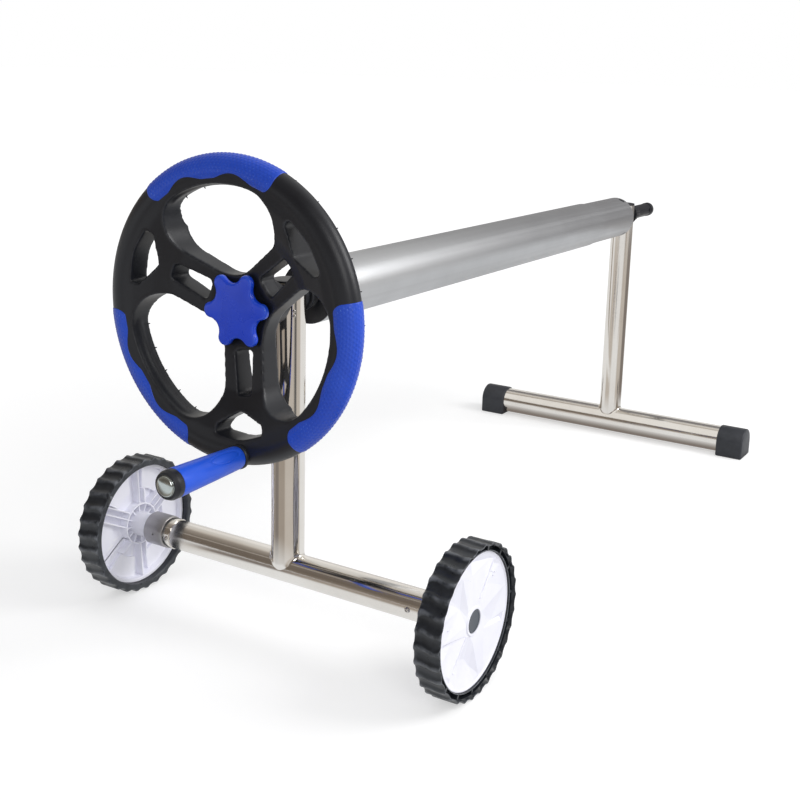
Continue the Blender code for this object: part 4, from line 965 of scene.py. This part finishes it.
# %% The moulding
def hand_wheel_body():
    bore = 15.3 * mm
    web = [(bore, 36 * mm), (31 * mm, 36 * mm, 2 * mm), (36 * mm, 79 * mm, 6 * mm),
           (110 * mm, 84 * mm, 20 * mm), (150 * mm, 89 * mm, 8 * mm), (168 * mm, 108 * mm, 5 * mm),
           (187 * mm, 112.7 * mm), (187 * mm, 146.5 * mm), (167 * mm, 143.5 * mm, 12 * mm),
           (136.5 * mm, 133.5 * mm, 20 * mm), (114 * mm, 121.5 * mm, 30 * mm), (60 * mm, 113 * mm, 10 * mm),
           (40 * mm, 108 * mm, 4 * mm), (5.35 * mm, 108 * mm), (5.35 * mm, 102 * mm), (bore, 102 * mm)]
    body = turned(web, 144, closed=True)
    ring = [(rim_centre + rim_half_width * math.cos(math.tau * step / 40),
             rim_forward + rim_half_depth * math.sin(math.tau * step / 40)) for step in range(40)]
    rim = turned(ring, 240, closed=True)
    low, high = 40 * mm, 180 * mm
    holes = [prism(opening_outline(angle), low, high) for angle in openings]
    holes += [prism(slot_outline(angle), low, high) for angle in spokes]
    body = combined(body, [gathered(holes)])
    body = combined(body, [rim], "UNION")
    windows = gathered([prism(window_outline(angle), low, high) for angle in spokes])
    holder = helper_object(combined(body, [windows]))
    even = holder.modifiers.new("even", "REMESH")
    even.mode = "VOXEL"
    even.voxel_size = 1.9 * mm
    even.use_smooth_shade = True
    soft = holder.modifiers.new("soft", "SMOOTH")
    soft.factor = 0.5
    soft.iterations = 9
    return evaluated(holder)


def rim_nubs():
    """Small pips left round the back of the rim by the mould."""
    nubs = []
    for step in range(30):
        angle = 12 * step + 2
        turn = Matrix.Rotation(math.radians(angle), 3, "Z")
        spots = [((rim_centre + 13.5 * mm, rim_forward - 13.2 * mm), (0.64, -0.77))]
        if min(abs((angle - spoke + 180) % 360 - 180) for spoke in spokes) > 24:
            spots.append(((173.2 * mm, 111.5 * mm), (-0.95, -0.3)))
        for (radius, height), (across, deep) in spots:
            nub = turned([(0, -0.5 * mm), (1.2 * mm, -0.5 * mm), (0.6 * mm, 3.4 * mm, 0.5 * mm),
                          (0, 3.6 * mm)], 8)
            nubs.append(aimed(nub, turn @ Vector((radius, 0, height)), turn @ Vector((across, 0, deep))))
    return gathered(nubs)


body = placed(hand_wheel_body(), "front", at_hand_wheel)
piece("hand_wheel", body, "roller", black_plastic, ["handwheel_body"], sharp=80)
piece("hand_wheel_nubs", placed(rim_nubs(), "front", at_hand_wheel), "roller", black_plastic, sharp=50)

# %% [markdown]
# ## The soft grips
# Three blue grips are moulded over the outer half of the rim. A closed C-shaped band is
# spun through 66 degrees with markers instead of sizes; every point is then moved onto
# the rim. The inner edge waves in and out, the ends are rounded, and offset rows of small
# pips rise from the surface.

# %% Grips
def grip_band(middle):
    half, columns, rows = math.radians(33), 104, 330
    shape = bmesh.new()
    shares = [step / columns * 2 - 1 for step in range(columns + 1)]
    loop = [shape.verts.new((2 + share, 0, 1)) for share in shares]
    loop += [shape.verts.new((2 + share, 0, 0)) for share in reversed(shares[::8])]
    edges = [shape.edges.new(pair) for pair in zip(loop, loop[1:] + loop[:1])]
    bmesh.ops.rotate(shape, cent=(0, 0, 0), matrix=Matrix.Rotation(-half, 3, "Z"), verts=shape.verts)
    bmesh.ops.spin(shape, geom=loop + edges, cent=(0, 0, 0), axis=(0, 0, 1), angle=2 * half, steps=rows)
    bmesh.ops.holes_fill(shape, edges=[edge for edge in shape.edges if edge.is_boundary], sides=0)
    for vertex in shape.verts:
        radius = vertex.co.xy.length
        angle = math.atan2(vertex.co.y, vertex.co.x)
        share, along = radius - 2, angle / half
        outside = vertex.co.z > 0.5
        wave = 5 * mm * math.cos(angle * 360 / 27)
        ending = max(0.0, (abs(along) - 0.87) / 0.13)
        inner = 183 * mm - wave
        limit = math.acos(max(-0.95, (inner - rim_centre) / rim_half_width))
        limit *= 0.6 + 0.4 * math.sqrt(max(0.0, 1 - min(ending, 1.0) ** 2.4))
        lean = share * limit
        from_side = (1 - abs(share)) * limit * rim_half_width
        from_end = (1 - abs(along)) * half * 205 * mm
        border = min(from_side, from_end) / (1.6 * mm)
        rise = 0.6 * mm
        if border < 1:
            rise -= 1.2 * mm * (1 - math.sqrt(max(0.0, 1 - (1 - border) ** 2)))
        if outside and border > 1.6:
            u, v = angle * 205 * mm / (6.4 * mm), lean * rim_half_width / (4.6 * mm)
            row = round(v)
            du, dv = (u + 0.5 * (row % 2)) % 1.0 - 0.5, v - row
            near = (du * 6.4 / 1.75) ** 2 + (dv * 4.6 / 1.45) ** 2
            fade = min(1.0, (border - 1.6) / 1.5)
            rise += 0.5 * mm * fade * math.exp(-near)
        if not outside:
            rise = -2.6 * mm if border > 0.2 else -1.0 * mm
        across = (rim_half_width + rise) * math.cos(lean)
        deep = (rim_half_depth + rise) * math.sin(lean)
        spot = Vector((rim_centre + across, 0, rim_forward + deep))
        vertex.co = Matrix.Rotation(math.radians(middle) + angle, 3, "Z") @ spot
    bmesh.ops.recalc_face_normals(shape, faces=shape.faces)
    return shape


for label, middle in zip(("top", "left", "right"), openings):
    piece(f"{label}_grip", placed(grip_band(middle), "front", at_hand_wheel), "roller", blue_grip,
          [f"grip_{label}"], sharp=60)

# %% [markdown]
# ## Knob and crank
# The six-lobed knob clamps the hand wheel on its shaft. It could be a flat outline,
# extruded and bevelled, but its edge rolls over softly. So a blank of numbered rings is
# spun, and each ring then takes the lobed outline at its own size. The knob is thinner
# than its solid, so it has a threaded stud of its own that ends inside it.

# %% Star knob
washer_back = hub_forward + 0.3 * mm
knob_back = washer_back + 2.3 * mm


def lobed(angle, inset=0.0):
    """Radius of the knob's outline: six round lobes joined by hollow arcs."""
    lobe_at, lobe, hollow_at, hollow = 43.5 * mm, 11 * mm - inset, 54.5 * mm, 16.5 * mm + inset
    off = abs((angle + math.pi / 6) % (math.pi / 3) - math.pi / 6)
    meet = math.atan2(lobe * 0.991, lobe_at + lobe * 0.1345)
    if off < meet:
        return lobe_at * math.cos(off) + math.sqrt(max(0.0, lobe**2 - (lobe_at * math.sin(off)) ** 2))
    off = math.pi / 6 - off
    return hollow_at * math.cos(off) - math.sqrt(hollow**2 - (hollow_at * math.sin(off)) ** 2)


def star_knob():
    """Rings are spun with numbers for radii, and each then takes its lobed outline."""
    rings = [("round", 25 * mm, 0), ("round", 25 * mm, 4.2), (3.0, 1, 4.2), (0.8, 1, 4.5), (0.1, 1, 5.2),
             (0, 1, 6), (0, 1, 8.6)]
    rings += [(4 * (1 - math.cos(math.radians(step))), 1, 8.6 + 3.9 * math.sin(math.radians(step)))
              for step in (18, 36, 54, 72, 90)]
    rings += [(5, 0.95, 12.58), (5, 0.8, 12.72), (5, 0.6, 12.84), (5, 0.4, 12.92), (5, 0.2, 12.98)]
    blank = [(0, knob_back + 9 * mm), (5.3 * mm, knob_back + 9 * mm), (5.3 * mm, knob_back)]
    blank += [(1 + 0.01 * number, knob_back + ring[2] * mm) for number, ring in enumerate(rings)]
    blank += [(0, knob_back + 13 * mm)]
    shape = turned(blank, 288)
    for vertex in shape.verts:
        marker = vertex.co.xy.length
        if marker < 0.5:
            continue
        kind, share, _ = rings[round((marker - 1) * 100)]
        angle = math.atan2(vertex.co.y, vertex.co.x) - math.radians(5)
        if kind == "round":
            radius = share
        else:
            radius = share**2 * lobed(angle, kind * mm) * share + (1 - share**2) * 33 * mm * share
        vertex.co.xy *= radius / marker
    return shape


piece("clamping_star", placed(star_knob(), "front", at_hand_wheel), "clamping_knob", blue_knob, ["star_knob"],
      sharp=40)
ring = [(5.3 * mm, washer_back), (21 * mm, washer_back, 0.4 * mm), (21 * mm, washer_back + 2 * mm, 0.6 * mm),
        (5.3 * mm, washer_back + 2 * mm)]
piece("knob_washer_ring", placed(turned(ring, 72, closed=True), "front", at_hand_wheel), "knob_carrier",
      steel_small, ["knob_washer"])
thread = [(0, washer_back - 26 * mm), (4.3 * mm, washer_back - 26 * mm)]
for step in range(23):
    thread += [(5 * mm, washer_back + (-25 + 1.5 * step) * mm),
               (4.45 * mm, washer_back + (-24.25 + 1.5 * step) * mm)]
thread += [(4.3 * mm, knob_back + 8.6 * mm), (0, knob_back + 8.6 * mm)]
piece("knob_thread", placed(turned(thread, 40), "front", at_hand_wheel), "clamping_knob", steel_small,
      ["knob_stud"], sharp=20)

# %% [markdown]
# The crank handle is a stack of turned pieces on one axis: a collar at the rim and a
# steel spindle with its nut, which are fixed, and round them the blue sleeve, a black
# ring and a chromed dome, which turn together. The sleeve swells towards its end. Its
# shallow oval groove is pressed in by moving the points that lie along an oval.

# %% Crank handle
crank_angle = math.radians(wheel_turn - 90)
at_crank = (crank_radius * math.cos(crank_angle), drive_y,
            roller_height + crank_radius * math.sin(crank_angle))
sleeve_start = rim_front + 4.1 * mm
sleeve_end = sleeve_start + 124.5 * mm
ring_start = sleeve_end + 0.3 * mm


def crank_sleeve():
    bore, long = 5.35 * mm, sleeve_end - sleeve_start
    outline = [(bore, sleeve_start), (15.7 * mm, sleeve_start, 1.2 * mm)]
    outline += [((15.9 + 4.1 * share**0.8) * mm, sleeve_start + long * share)
                for share in [0.04 + 0.94 * step / 110 for step in range(111)]]
    outline += [(20 * mm, sleeve_end, 0.8 * mm), (bore, sleeve_end)]
    shape = turned(outline, 180, closed=True)
    for vertex in shape.verts:
        radius = vertex.co.xy.length
        if radius < 15 * mm:
            continue
        share = (vertex.co.z - sleeve_start) / long
        off = (math.atan2(vertex.co.y, vertex.co.x) - math.radians(48)) / 0.46
        reach = (share - 0.29) / 0.22
        ring = math.hypot(off, reach) - 1
        depth = 0.7 * mm * math.exp(-((ring / 0.09) ** 2)) + (0.25 * mm if ring < 0 else 0)
        vertex.co.xy *= 1 - depth / radius
    return shape


piece("crank_grip_sleeve", placed(crank_sleeve(), "front", at_crank), "crank_grip", blue_sleeve,
      ["crank_sleeve"], sharp=50)
ring = [(5.35 * mm, ring_start), (20 * mm, ring_start, 0.5 * mm), (20 * mm, ring_start + 9 * mm, 2 * mm),
        (17.6 * mm, ring_start + 15 * mm, 1.6 * mm), (14.85 * mm, ring_start + 15 * mm, 0.6 * mm),
        (14.85 * mm, ring_start + 8 * mm), (5.35 * mm, ring_start + 8 * mm)]
piece("crank_black_ring", placed(turned(ring, 120, closed=True), "front", at_crank), "crank_grip",
      black_plastic, ["crank_end_ring"])
dome_base = ring_start + 11.6 * mm
dome = [(0, dome_base), (14.5 * mm, dome_base), (14.5 * mm, ring_start + 14.6 * mm, 0.7 * mm)]
dome += [(13.9 * mm * math.cos(math.pi / 2 * step / 12),
          ring_start + 15.2 * mm + 5.8 * mm * math.sin(math.pi / 2 * step / 12)) for step in range(12)]
dome += [(0, ring_start + 21 * mm)]
piece("crank_chrome_dome", placed(turned(dome, 96), "front", at_crank), "crank_grip", chrome,
      ["crank_dome_cap"])

collar = [(5.3 * mm, rim_front - 1 * mm), (17.2 * mm, rim_front - 1 * mm),
          (17.2 * mm, rim_front + 2.2 * mm, 0.8 * mm), (15.7 * mm, rim_front + 3.8 * mm, 0.6 * mm),
          (5.3 * mm, rim_front + 3.8 * mm)]
piece("crank_foot_collar", placed(turned(collar, 72, closed=True), "front", at_crank), "roller",
      black_plastic, ["crank_collar"])
spindle = [(0, 100.5 * mm), (4.4 * mm, 100.5 * mm, 0.4 * mm), (5 * mm, 101.3 * mm),
           (5 * mm, ring_start + 11 * mm), (0, ring_start + 11 * mm)]
piece("crank_pin", placed(turned(spindle, 48), "front", at_crank), "roller", steel_small, ["crank_spindle"])
nut = prism([polar(9.5 * mm, 60 * index) for index in range(6)], 103.2 * mm, 111.2 * mm)
bmesh.ops.bevel(nut, geom=nut.edges[:], offset=0.5 * mm, affect="EDGES", segments=2, profile=0.5, material=-1)
nut = combined(nut, [turned([(0, 95 * mm), (5.3 * mm, 95 * mm), (5.3 * mm, 120 * mm), (0, 120 * mm)], 32)])
piece("crank_nut", placed(nut, "front", at_crank), "roller", steel_small, ["crank_spindle_nut"])

# %% [markdown]
# ## Studio
# The photograph shows the reel on white, with only faint soft shadows. The floor is
# pale and adds a little light of its own for the camera, so that its lit parts are
# white and its shadows stay visible. Polished steel shows whatever stands round it, and
# photographers put up cards for that. Here the floor's material paints reflections of
# coloured cards round each stand, and a painted shadow beside the low bar, for
# reflected rays alone. Two more cards, which only reflections see, hang face down
# between the stands and stand upright behind the reel.

# %% Floor
def colour_ramp(tree, value, stops):
    ramp = tree.nodes.new("ShaderNodeValToRGB")
    tree.links.new(value, ramp.inputs["Fac"])
    while len(ramp.color_ramp.elements) < len(stops):
        ramp.color_ramp.elements.new(0.5)
    for element, (position, colour) in zip(ramp.color_ramp.elements, stops):
        element.position = position
        element.color = (*colour, 1)
    return ramp.outputs["Color"]


def cards(*bands):
    """Ramp stops from (azimuth in degrees, tone) cards with soft borders."""
    stops = []
    for (begin, tone), (finish, _) in zip(bands, (*bands[1:], (180, None))):
        stops += [((begin + 185) / 360, tone), ((finish + 175) / 360, tone)]
    return stops


# Five plain tones for the painted card reflections, set in a few broad steps round each stand.
light, beige, brown, dim, dark = (
    (0.9, 0.9, 0.9), (0.6, 0.55, 0.5), (0.4, 0.35, 0.3), (0.25, 0.22, 0.2), (0.1, 0.1, 0.1))
drive_painted_reflections = cards((-180, brown), (-150, dim), (-120, brown), (-75, beige), (-15, dark),
                    (0, beige), (30, light), (150, brown))
idler_painted_reflections = cards((-180, light), (-135, beige), (-90, light), (-30, beige), (15, dim), (75, light))


def floor_finish():
    made = bpy.data.materials.new("studio_floor")
    made.use_nodes = True
    tree = made.node_tree
    tree.nodes.clear()
    out = tree.nodes.new("ShaderNodeOutputMaterial")
    path = tree.nodes.new("ShaderNodeLightPath")
    spot = tree.nodes.new("ShaderNodeSeparateXYZ")
    where = tree.nodes.new("ShaderNodeTexCoord").outputs["Object"]
    tree.links.new(where, spot.inputs[0])
    far = tree.nodes.new("ShaderNodeVectorMath")
    far.operation = "LENGTH"
    tree.links.new(where, far.inputs[0])
    # What people see: a pale floor that adds a little light of its own.
    diffuse = tree.nodes.new("ShaderNodeBsdfDiffuse")
    diffuse.inputs["Color"].default_value = (0.62, 0.62, 0.62, 1)
    glow = tree.nodes.new("ShaderNodeEmission")
    own = spread(tree, far.outputs["Value"], 0.9, 3.0, 0.50, 0.72)
    tree.links.new(math_node(tree, "MULTIPLY", path.outputs["Is Camera Ray"], own), glow.inputs["Strength"])
    seen = tree.nodes.new("ShaderNodeAddShader")
    tree.links.new(diffuse.outputs[0], seen.inputs[0])
    tree.links.new(glow.outputs[0], seen.inputs[1])
    # What polished metal sees: a bright floor. Rays that left a post of a stand, which
    # are about as long as the stand is far, see painted reflections of coloured cards round it.
    painted_reflection_colour = (0.88, 0.885, 0.89)
    for place_y, shown in ((idler_y, idler_painted_reflections), (drive_y, drive_painted_reflections)):
        along = math_node(tree, "SUBTRACT", spot.outputs["Y"], place_y)
        azimuth = math_node(tree, "ARCTAN2", along, spot.outputs["X"])
        turn = math_node(tree, "ADD", math_node(tree, "DIVIDE", azimuth, math.tau), 0.5)
        squares = math_node(tree, "ADD", math_node(tree, "MULTIPLY", along, along),
                            math_node(tree, "MULTIPLY", spot.outputs["X"], spot.outputs["X"]))
        away = math_node(tree, "SQRT", squares)
        expected = math_node(tree, "MULTIPLY", away, 1.04)
        miss = math_node(tree, "SUBTRACT", path.outputs["Ray Length"], expected)
        miss = math_node(tree, "ABSOLUTE", miss)
        own = math_node(tree, "MULTIPLY", spread(tree, miss, 0.12, 0.2, 1, 0), spread(tree, away, 0.26, 0.42))
        painted_reflection_colour = mix_colours(tree, own, painted_reflection_colour, colour_ramp(tree, turn, shown))
        if place_y == idler_y:
            # Painted shadow: reflected rays see a darker floor beside and under the low bar.
            beside = spread(tree, math_node(tree, "ABSOLUTE", along), 0.02, 0.07, 1, 0)
            painted_bar_shadow = math_node(tree, "MULTIPLY", beside, spread(tree, away, 0.33, 0.36, 1, 0))
            painted_reflection_colour = mix_colours(tree, painted_bar_shadow, painted_reflection_colour, dim)
    mirror = tree.nodes.new("ShaderNodeEmission")
    tree.links.new(painted_reflection_colour, mirror.inputs["Color"])
    choose = tree.nodes.new("ShaderNodeMixShader")
    tree.links.new(path.outputs["Is Glossy Ray"], choose.inputs[0])
    tree.links.new(seen.outputs[0], choose.inputs[1])
    tree.links.new(mirror.outputs[0], choose.inputs[2])
    tree.links.new(choose.outputs[0], out.inputs["Surface"])
    return made


shape = bmesh.new()
bmesh.ops.create_grid(shape, x_segments=1, y_segments=1, size=60)
mesh = bpy.data.meshes.new("floor")
shape.to_mesh(mesh)
shape.free()
mesh.materials.append(floor_finish())
floor = bpy.data.objects.new("floor", mesh)
floor.location.z = -0.0004
bpy.context.scene.collection.objects.link(floor)


def card(name, spot, size, colour, tilt):
    """A one-sided card that only reflections show, like a studio flag."""
    made = bpy.data.materials.new(name)
    made.use_nodes = True
    tree = made.node_tree
    tree.nodes.clear()
    kinds = ("ShaderNodeEmission", "ShaderNodeBsdfTransparent", "ShaderNodeMixShader")
    glow, clear, choose = (tree.nodes.new(kind) for kind in kinds)
    glow.inputs["Color"].default_value = (*colour, 1)
    tree.links.new(tree.nodes.new("ShaderNodeNewGeometry").outputs["Backfacing"], choose.inputs[0])
    tree.links.new(glow.outputs[0], choose.inputs[1])
    tree.links.new(clear.outputs[0], choose.inputs[2])
    tree.links.new(choose.outputs[0], tree.nodes.new("ShaderNodeOutputMaterial").inputs["Surface"])
    shape = bmesh.new()
    bmesh.ops.create_grid(shape, x_segments=1, y_segments=1, size=0.5)
    bmesh.ops.scale(shape, vec=(*size, 1), verts=shape.verts)
    bmesh.ops.rotate(shape, cent=(0, 0, 0), matrix=Matrix.Rotation(math.radians(tilt), 3, "X"),
                     verts=shape.verts)
    bmesh.ops.translate(shape, vec=spot, verts=shape.verts)
    mesh = bpy.data.meshes.new(name)
    shape.to_mesh(mesh)
    shape.free()
    mesh.materials.append(made)
    flag = bpy.data.objects.new(name, mesh)
    bpy.context.scene.collection.objects.link(flag)
    flag.visible_camera = flag.visible_diffuse = flag.visible_shadow = flag.visible_transmission = False


card("bright_card", (0, 0.16, 0.45), (1.8, 0.92), (0.92, 0.90, 0.87), 180)
card("dark_card", (0.2, 1.2, 1.05), (2.6, 1.2), (0.26, 0.25, 0.25), 90)
print("floor laid")

# %% [markdown]
# The light comes from the world and from two soft lamps, a large one on the right and a
# weaker one in front that opens the shadows of the hand wheel. The world is plain for
# the light it gives and white for the camera. For reflections it is a room, dark behind
# the photographer and bright overhead.

# %% Room light and reflections
world = bpy.data.worlds.new("room")
bpy.context.scene.world = world
world.use_nodes = True
tree = world.node_tree
tree.nodes.clear()
direction = tree.nodes.new("ShaderNodeTexCoord").outputs["Generated"]
parts = tree.nodes.new("ShaderNodeSeparateXYZ")
tree.links.new(direction, parts.inputs[0])
# Dark behind the photographer, bright overhead and behind the reel.
lean = math_node(tree, "ADD", math_node(tree, "MULTIPLY", parts.outputs["Y"], 0.37),
                 math_node(tree, "MULTIPLY", parts.outputs["Z"], 0.25))
room = colour_ramp(tree, math_node(tree, "ADD", lean, 0.5),
                   [(0.10, (0.34, 0.29, 0.24)), (0.26, (0.17, 0.14, 0.115)), (0.43, (0.19, 0.16, 0.135)),
                    (0.45, (0.50, 0.46, 0.41)), (0.48, (0.20, 0.17, 0.145)), (0.66, (0.36, 0.32, 0.28)),
                    (0.74, (0.66, 0.62, 0.57)), (0.88, (0.84, 0.83, 0.81))])
path = tree.nodes.new("ShaderNodeLightPath")
side_light = mix_colours(tree, spread(tree, parts.outputs["X"], -1, 1), (0.38, 0.38, 0.39),
                         (0.74, 0.74, 0.74))
plain = mix_colours(tree, path.outputs["Is Camera Ray"], side_light, (1.0, 1.0, 1.0))
colour = mix_colours(tree, path.outputs["Is Glossy Ray"], plain, room)
back = tree.nodes.new("ShaderNodeBackground")
tree.links.new(colour, back.inputs["Color"])
out = tree.nodes.new("ShaderNodeOutputWorld")
tree.links.new(back.outputs[0], out.inputs["Surface"])


def lamp(name, spot, target, size, power):
    light = bpy.data.lights.new(name, "AREA")
    light.shape = "RECTANGLE"
    light.size, light.size_y = size
    light.energy = power
    made = bpy.data.objects.new(name, light)
    made.location = spot
    made.rotation_euler = (Vector(target) - Vector(spot)).to_track_quat("-Z", "Y").to_euler()
    bpy.context.scene.collection.objects.link(made)


lamp("right_softbox", (2.9, 1.1, 2.5), (0, 0, 0.3), (1.9, 1.9), 78)
lamp("front_fill", (2.3, -2.6, 2.0), (0, -0.4, 0.4), (1.2, 1.5), 27)
print("lamps:", len(bpy.data.lights))

# %% [markdown]
# ## Camera
# The camera was found by fitting the edges of the tubes and wheels in the photograph.
# The photograph looks slightly down on the reel from the front right. The middle of
# the lens falls a little above the photograph's centre, which the small vertical shift
# gives.

# %% Camera
yaw, pitch, roll = math.radians(31.52), math.radians(13.05), math.radians(1.46)
forward = Vector((-math.sin(yaw) * math.cos(pitch), math.cos(yaw) * math.cos(pitch), -math.sin(pitch)))
level = Vector((math.cos(yaw), math.sin(yaw), 0))
above = level.cross(forward)
right = math.cos(roll) * level + math.sin(roll) * above
up = -math.sin(roll) * level + math.cos(roll) * above
pose = Matrix((right, up, -forward)).transposed().to_4x4()
pose.translation = (1.01536, -1.92304, 0.85715)
lens = bpy.data.cameras.new("photo_camera")
lens.sensor_width = 36
lens.lens = 1192.59 / 800 * 36
lens.shift_y = -(400 - 340) / 800
camera = bpy.data.objects.new("photo_camera", lens)
camera.matrix_world = pose
bpy.context.scene.collection.objects.link(camera)
bpy.context.scene.camera = camera
bpy.context.scene.view_settings.view_transform = "Standard"
print("camera at", tuple(round(value, 3) for value in camera.location))
